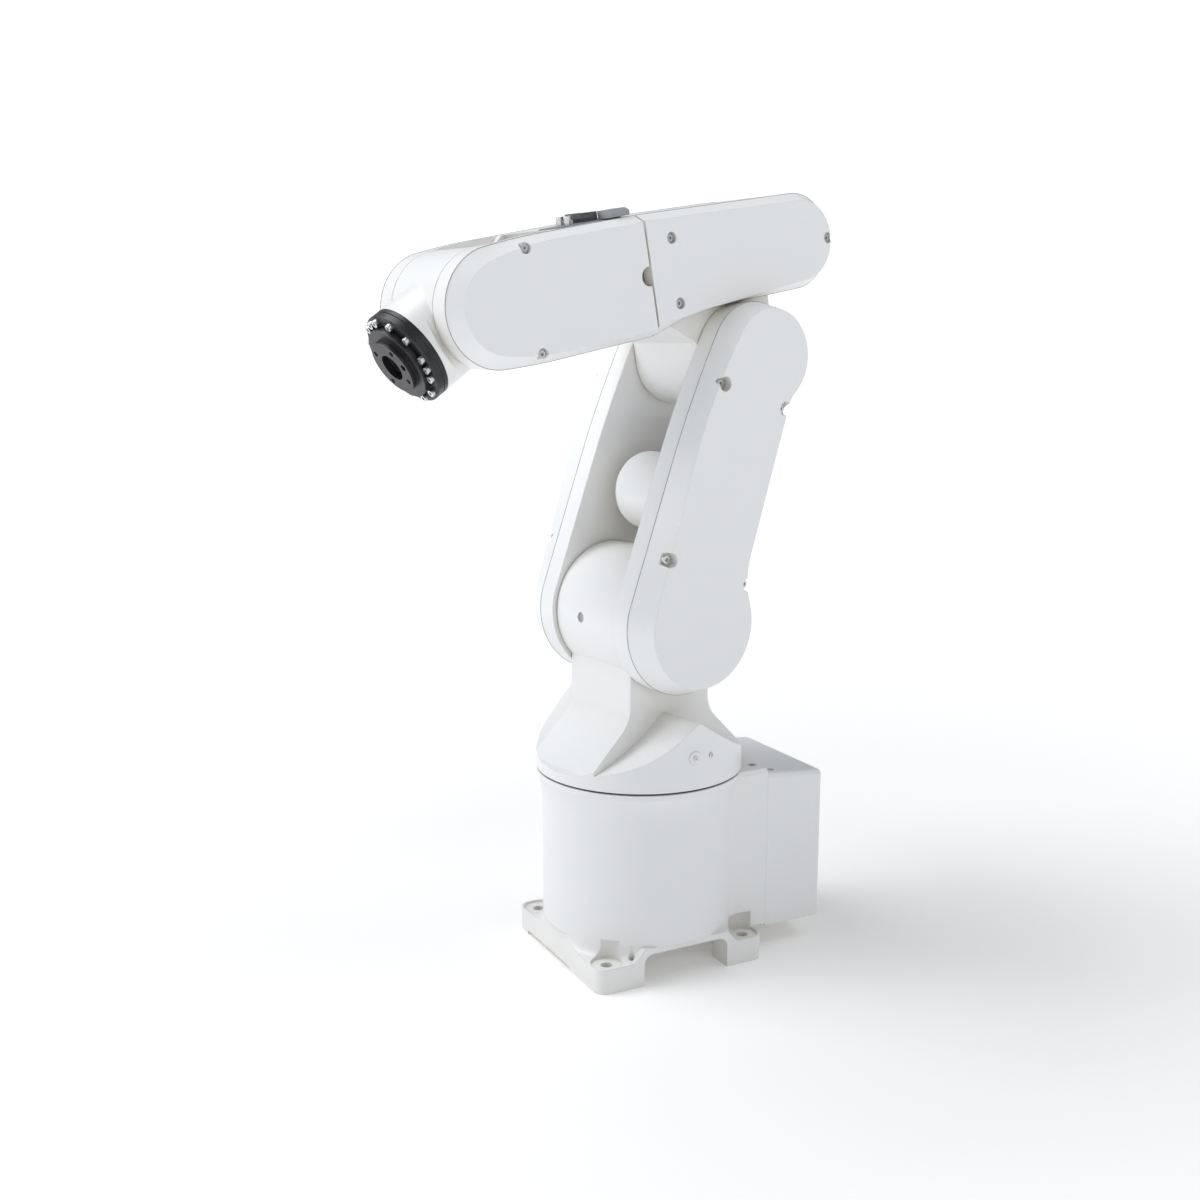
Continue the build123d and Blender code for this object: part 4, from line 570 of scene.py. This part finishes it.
left = Vector(joints["j2_lean"]["axis"])
for part, body in (("arm", "upper_arm"), ("elbow", "elbow"), ("forearm", "forearm")):
    for side, inward in (("left", -left), ("right", left)):
        path = seating_edge(f"{side}_{part}_cover", inward)
        curve = bpy.data.curves.new(f"{side}_{part}_gasket", "CURVE")
        curve.dimensions = "3D"
        curve.bevel_depth = GASKET_R
        curve.bevel_resolution = 2
        spline = curve.splines.new("POLY")
        spline.points.add(len(path) - 1)
        for point, place in zip(spline.points, path):
            point.co = (*place, 1)
        spline.use_cyclic_u = True
        add_piece(f"{side}_{part}_gasket", curve, Matrix.Identity(4), gasket_grey, body)

# Wrist
# The wrist is a short white casting that bends in the fork. Its bearing ring and the tool flange
# are steel with a black oxide skin, paler along the edges.

dress(cast_white, "wrist_casting")


def worn_edges():
    """Mask of sharp outer edges, where a thin skin rubs off first."""
    group, given, out = new_group(
        "worn_edges",
        [("Radius", "NodeSocketFloat", 0.0004), ("Strength", "NodeSocketFloat", 6.0)],
        [("Mask", "NodeSocketFloat")])
    nodes = group.nodes
    links = group.links
    edge = nodes.new("ShaderNodeBevel")
    edge.samples = 6
    links.new(given.outputs["Radius"], edge.inputs["Radius"])
    flat = nodes.new("ShaderNodeNewGeometry")
    along = nodes.new("ShaderNodeVectorMath")
    along.operation = "DOT_PRODUCT"
    links.new(edge.outputs["Normal"], along.inputs[0])
    links.new(flat.outputs["Normal"], along.inputs[1])
    turned = nodes.new("ShaderNodeMath")
    turned.operation = "SUBTRACT"
    turned.inputs[0].default_value = 1.0
    links.new(along.outputs["Value"], turned.inputs[1])
    scaled = nodes.new("ShaderNodeMath")
    scaled.operation = "MULTIPLY"
    scaled.use_clamp = True
    links.new(turned.outputs[0], scaled.inputs[0])
    links.new(given.outputs["Strength"], scaled.inputs[1])
    links.new(scaled.outputs[0], out.inputs["Mask"])
    return group


black_oxide, nodes, links, shader = new_material("black_oxide_steel")
skin = add_group(nodes, SPRAYED_COAT, Peel_Scale=1100, Peel_Height=0.05, Edge_Radius=0.0003,
                 Roughness=0.36, Roughness_Spread=0.14)
rubbed = add_group(nodes, worn_edges(), Radius=0.0004, Strength=5.0)
body = mix_colours(nodes, links, skin.outputs["Thin"], (0.016, 0.016, 0.018, 1), (0.028, 0.028, 0.032, 1))
links.new(mix_colours(nodes, links, rubbed.outputs["Mask"], body, (0.13, 0.13, 0.14, 1)),
          shader.inputs["Base Color"])
links.new(skin.outputs["Roughness"], shader.inputs["Roughness"])
links.new(skin.outputs["Normal"], shader.inputs["Normal"])
shader.inputs["Metallic"].default_value = 0.35
dress(black_oxide, "bearing_ring", "tool_flange")
dress(zinc, "ring_screws")

# Threads of the tool flange
# The four bolt holes round the bore are tapped. The thread is a ridge that winds down each hole.

FLANGE_REACH = 0.07
BOLT_CIRCLE = 0.0315
TAPPED_R = 0.0021
THREAD_DEPTH = 0.0068
THREAD_PITCH = 0.0008
THREAD_HEIGHT = 0.0003
THREAD_SIDES = 24
THREAD_HALF_WIDTH = 0.4
BOLTS = 4
FIRST_BOLT = 45


def thread_mesh(name, centres):
    """Ridges that wind down into tapped holes along Z, one for each centre."""
    points = []
    faces = []
    steps = int(THREAD_DEPTH / THREAD_PITCH * THREAD_SIDES)
    for centre in centres:
        first = len(points)
        for i in range(steps + 1):
            angle = 2 * math.pi * i / THREAD_SIDES
            depth = THREAD_PITCH * i / THREAD_SIDES + THREAD_PITCH / 2
            for radius, shift in ((TAPPED_R, -THREAD_HALF_WIDTH), (TAPPED_R - THREAD_HEIGHT, 0),
                                  (TAPPED_R, THREAD_HALF_WIDTH)):
                points.append((centre[0] + radius * math.cos(angle), centre[1] + radius * math.sin(angle),
                               -depth + shift * THREAD_PITCH))
            if i:
                for k in range(2):
                    here = first + 3 * i + k
                    faces.append((here - 3, here, here + 1, here - 2))
                here = first + 3 * i
                faces.append((here - 1, here + 2, here, here - 3))
        faces.append((first, first + 1, first + 2))
        last = len(points) - 3
        faces.append((last + 2, last + 1, last))
    mesh = bpy.data.meshes.new(name)
    mesh.from_pydata(points, [], faces)
    mesh.validate()
    return mesh


flange = link_frame(joints["j5_bend"]["pos_m"], joints["j6_flange"]["axis"], joints["j5_bend"]["axis"])
face = flange @ Matrix.Translation((FLANGE_REACH, 0, 0)) @ Matrix.Rotation(math.radians(90), 4, "Y")
bolts = ring_of_places(BOLT_CIRCLE / 2, BOLTS, FIRST_BOLT)
add_piece("flange_threads", thread_mesh("flange_threads", bolts), face, black_oxide, "tool_flange")

# Floor and backdrop
# A plain white sheet runs far out under and behind the arm, so that it stands in an even white room
# with a soft shadow under the foot.

FLOOR_HALF = 12.0
GLOW_START = 0.35
GLOW_END = 2.2

floor_mesh = bpy.data.meshes.new("floor")
floor_mesh.from_pydata([(x * FLOOR_HALF, y * FLOOR_HALF, 0) for x, y in ((-1, -1), (1, -1), (1, 1), (-1, 1))],
                       [], [(0, 1, 2, 3)])
floor = bpy.data.objects.new("floor", floor_mesh)
bpy.context.scene.collection.objects.link(floor)
floor_white, nodes, links, shader = new_material("floor_white")
shader.inputs["Base Color"].default_value = (0.93, 0.93, 0.93, 1)
shader.inputs["Roughness"].default_value = 0.75
# The sheet glows with painted light: weakly near the arm and more from GLOW_START to GLOW_END out, so that
# the far floor turns white and the floor round the foot stays greyer.
place = nodes.new("ShaderNodeTexCoord")
reach = nodes.new("ShaderNodeVectorMath")
reach.operation = "LENGTH"
links.new(place.outputs["Object"], reach.inputs[0])
glow = nodes.new("ShaderNodeMapRange")
glow.inputs["From Min"].default_value = GLOW_START
glow.inputs["From Max"].default_value = GLOW_END
links.new(reach.outputs["Value"], glow.inputs["Value"])
links.new(mix_colours(nodes, links, glow.outputs["Result"], (0.12, 0.12, 0.12, 1), (0.75, 0.75, 0.75, 1)),
          shader.inputs["Emission Color"])
shader.inputs["Emission Strength"].default_value = 1.0
floor_mesh.materials.append(floor_white)

# Camera
# It stands in front of the arm's left side, a little above its middle, and looks slightly down.

PHOTO_WIDTH = 1200
FOCAL_PIXELS = 1406.56
AZIMUTH = math.radians(152.57)
ELEVATION = math.radians(10.62)
DISTANCE = 1.1186
AIM_RIGHT = -0.0315
AIM_HEIGHT = 0.28909

right = Vector((math.cos(AZIMUTH), math.sin(AZIMUTH), 0))
back = Vector((math.sin(AZIMUTH) * math.cos(ELEVATION), -math.cos(AZIMUTH) * math.cos(ELEVATION),
               math.sin(ELEVATION)))
camera_data = bpy.data.cameras.new("camera")
camera_data.sensor_width = 36
camera_data.lens = FOCAL_PIXELS / PHOTO_WIDTH * camera_data.sensor_width
camera_data.clip_end = 100
camera = bpy.data.objects.new("camera", camera_data)
camera.location = Vector((0, 0, AIM_HEIGHT)) + right * AIM_RIGHT + back * DISTANCE
camera.rotation_euler = (-back).to_track_quat("-Z", "Y").to_euler()
bpy.context.scene.collection.objects.link(camera)
bpy.context.scene.camera = camera

# Light
# Large soft boxes above, in front, at the left and behind, and an even white room that fills the
# shadows.


def soft_box(name, place, aim, size, watts):
    """Square soft box at a place, pointing at a height on the arm's axis."""
    data = bpy.data.lights.new(name, "AREA")
    data.size = size
    data.energy = watts
    lamp = bpy.data.objects.new(name, data)
    lamp.location = place
    lamp.rotation_euler = (Vector(aim) - Vector(place)).to_track_quat("-Z", "Y").to_euler()
    bpy.context.scene.collection.objects.link(lamp)


soft_box("box_above", (0.9, -0.5, 2.0), (0, 0, 0.35), 1.3, 24)
soft_box("box_front", (2.2, -1.0, 1.3), (0, 0, 0.5), 1.0, 12)
soft_box("box_left", (-0.3, 2.6, 1.5), (0, 0, 0.5), 1.4, 8)
soft_box("box_back", (-1.3, 0.7, 2.1), (0, 0, 0.3), 1.4, 10)

world = bpy.data.worlds.new("white_room")
world.use_nodes = True
nodes = world.node_tree.nodes
links = world.node_tree.links
seen = nodes["Background"]
seen.inputs["Color"].default_value = (1, 1, 1, 1)
seen.inputs["Strength"].default_value = 1.1
room = nodes.new("ShaderNodeBackground")
room.inputs["Color"].default_value = (0.93, 0.96, 1.0, 1)
room.inputs["Strength"].default_value = 0.34
path = nodes.new("ShaderNodeLightPath")
mix = nodes.new("ShaderNodeMixShader")
links.new(path.outputs["Is Camera Ray"], mix.inputs["Fac"])
links.new(room.outputs["Background"], mix.inputs[1])
links.new(seen.outputs["Background"], mix.inputs[2])
links.new(mix.outputs["Shader"], nodes["World Output"].inputs["Surface"])
bpy.context.scene.world = world
bpy.context.scene.view_settings.view_transform = "Standard"
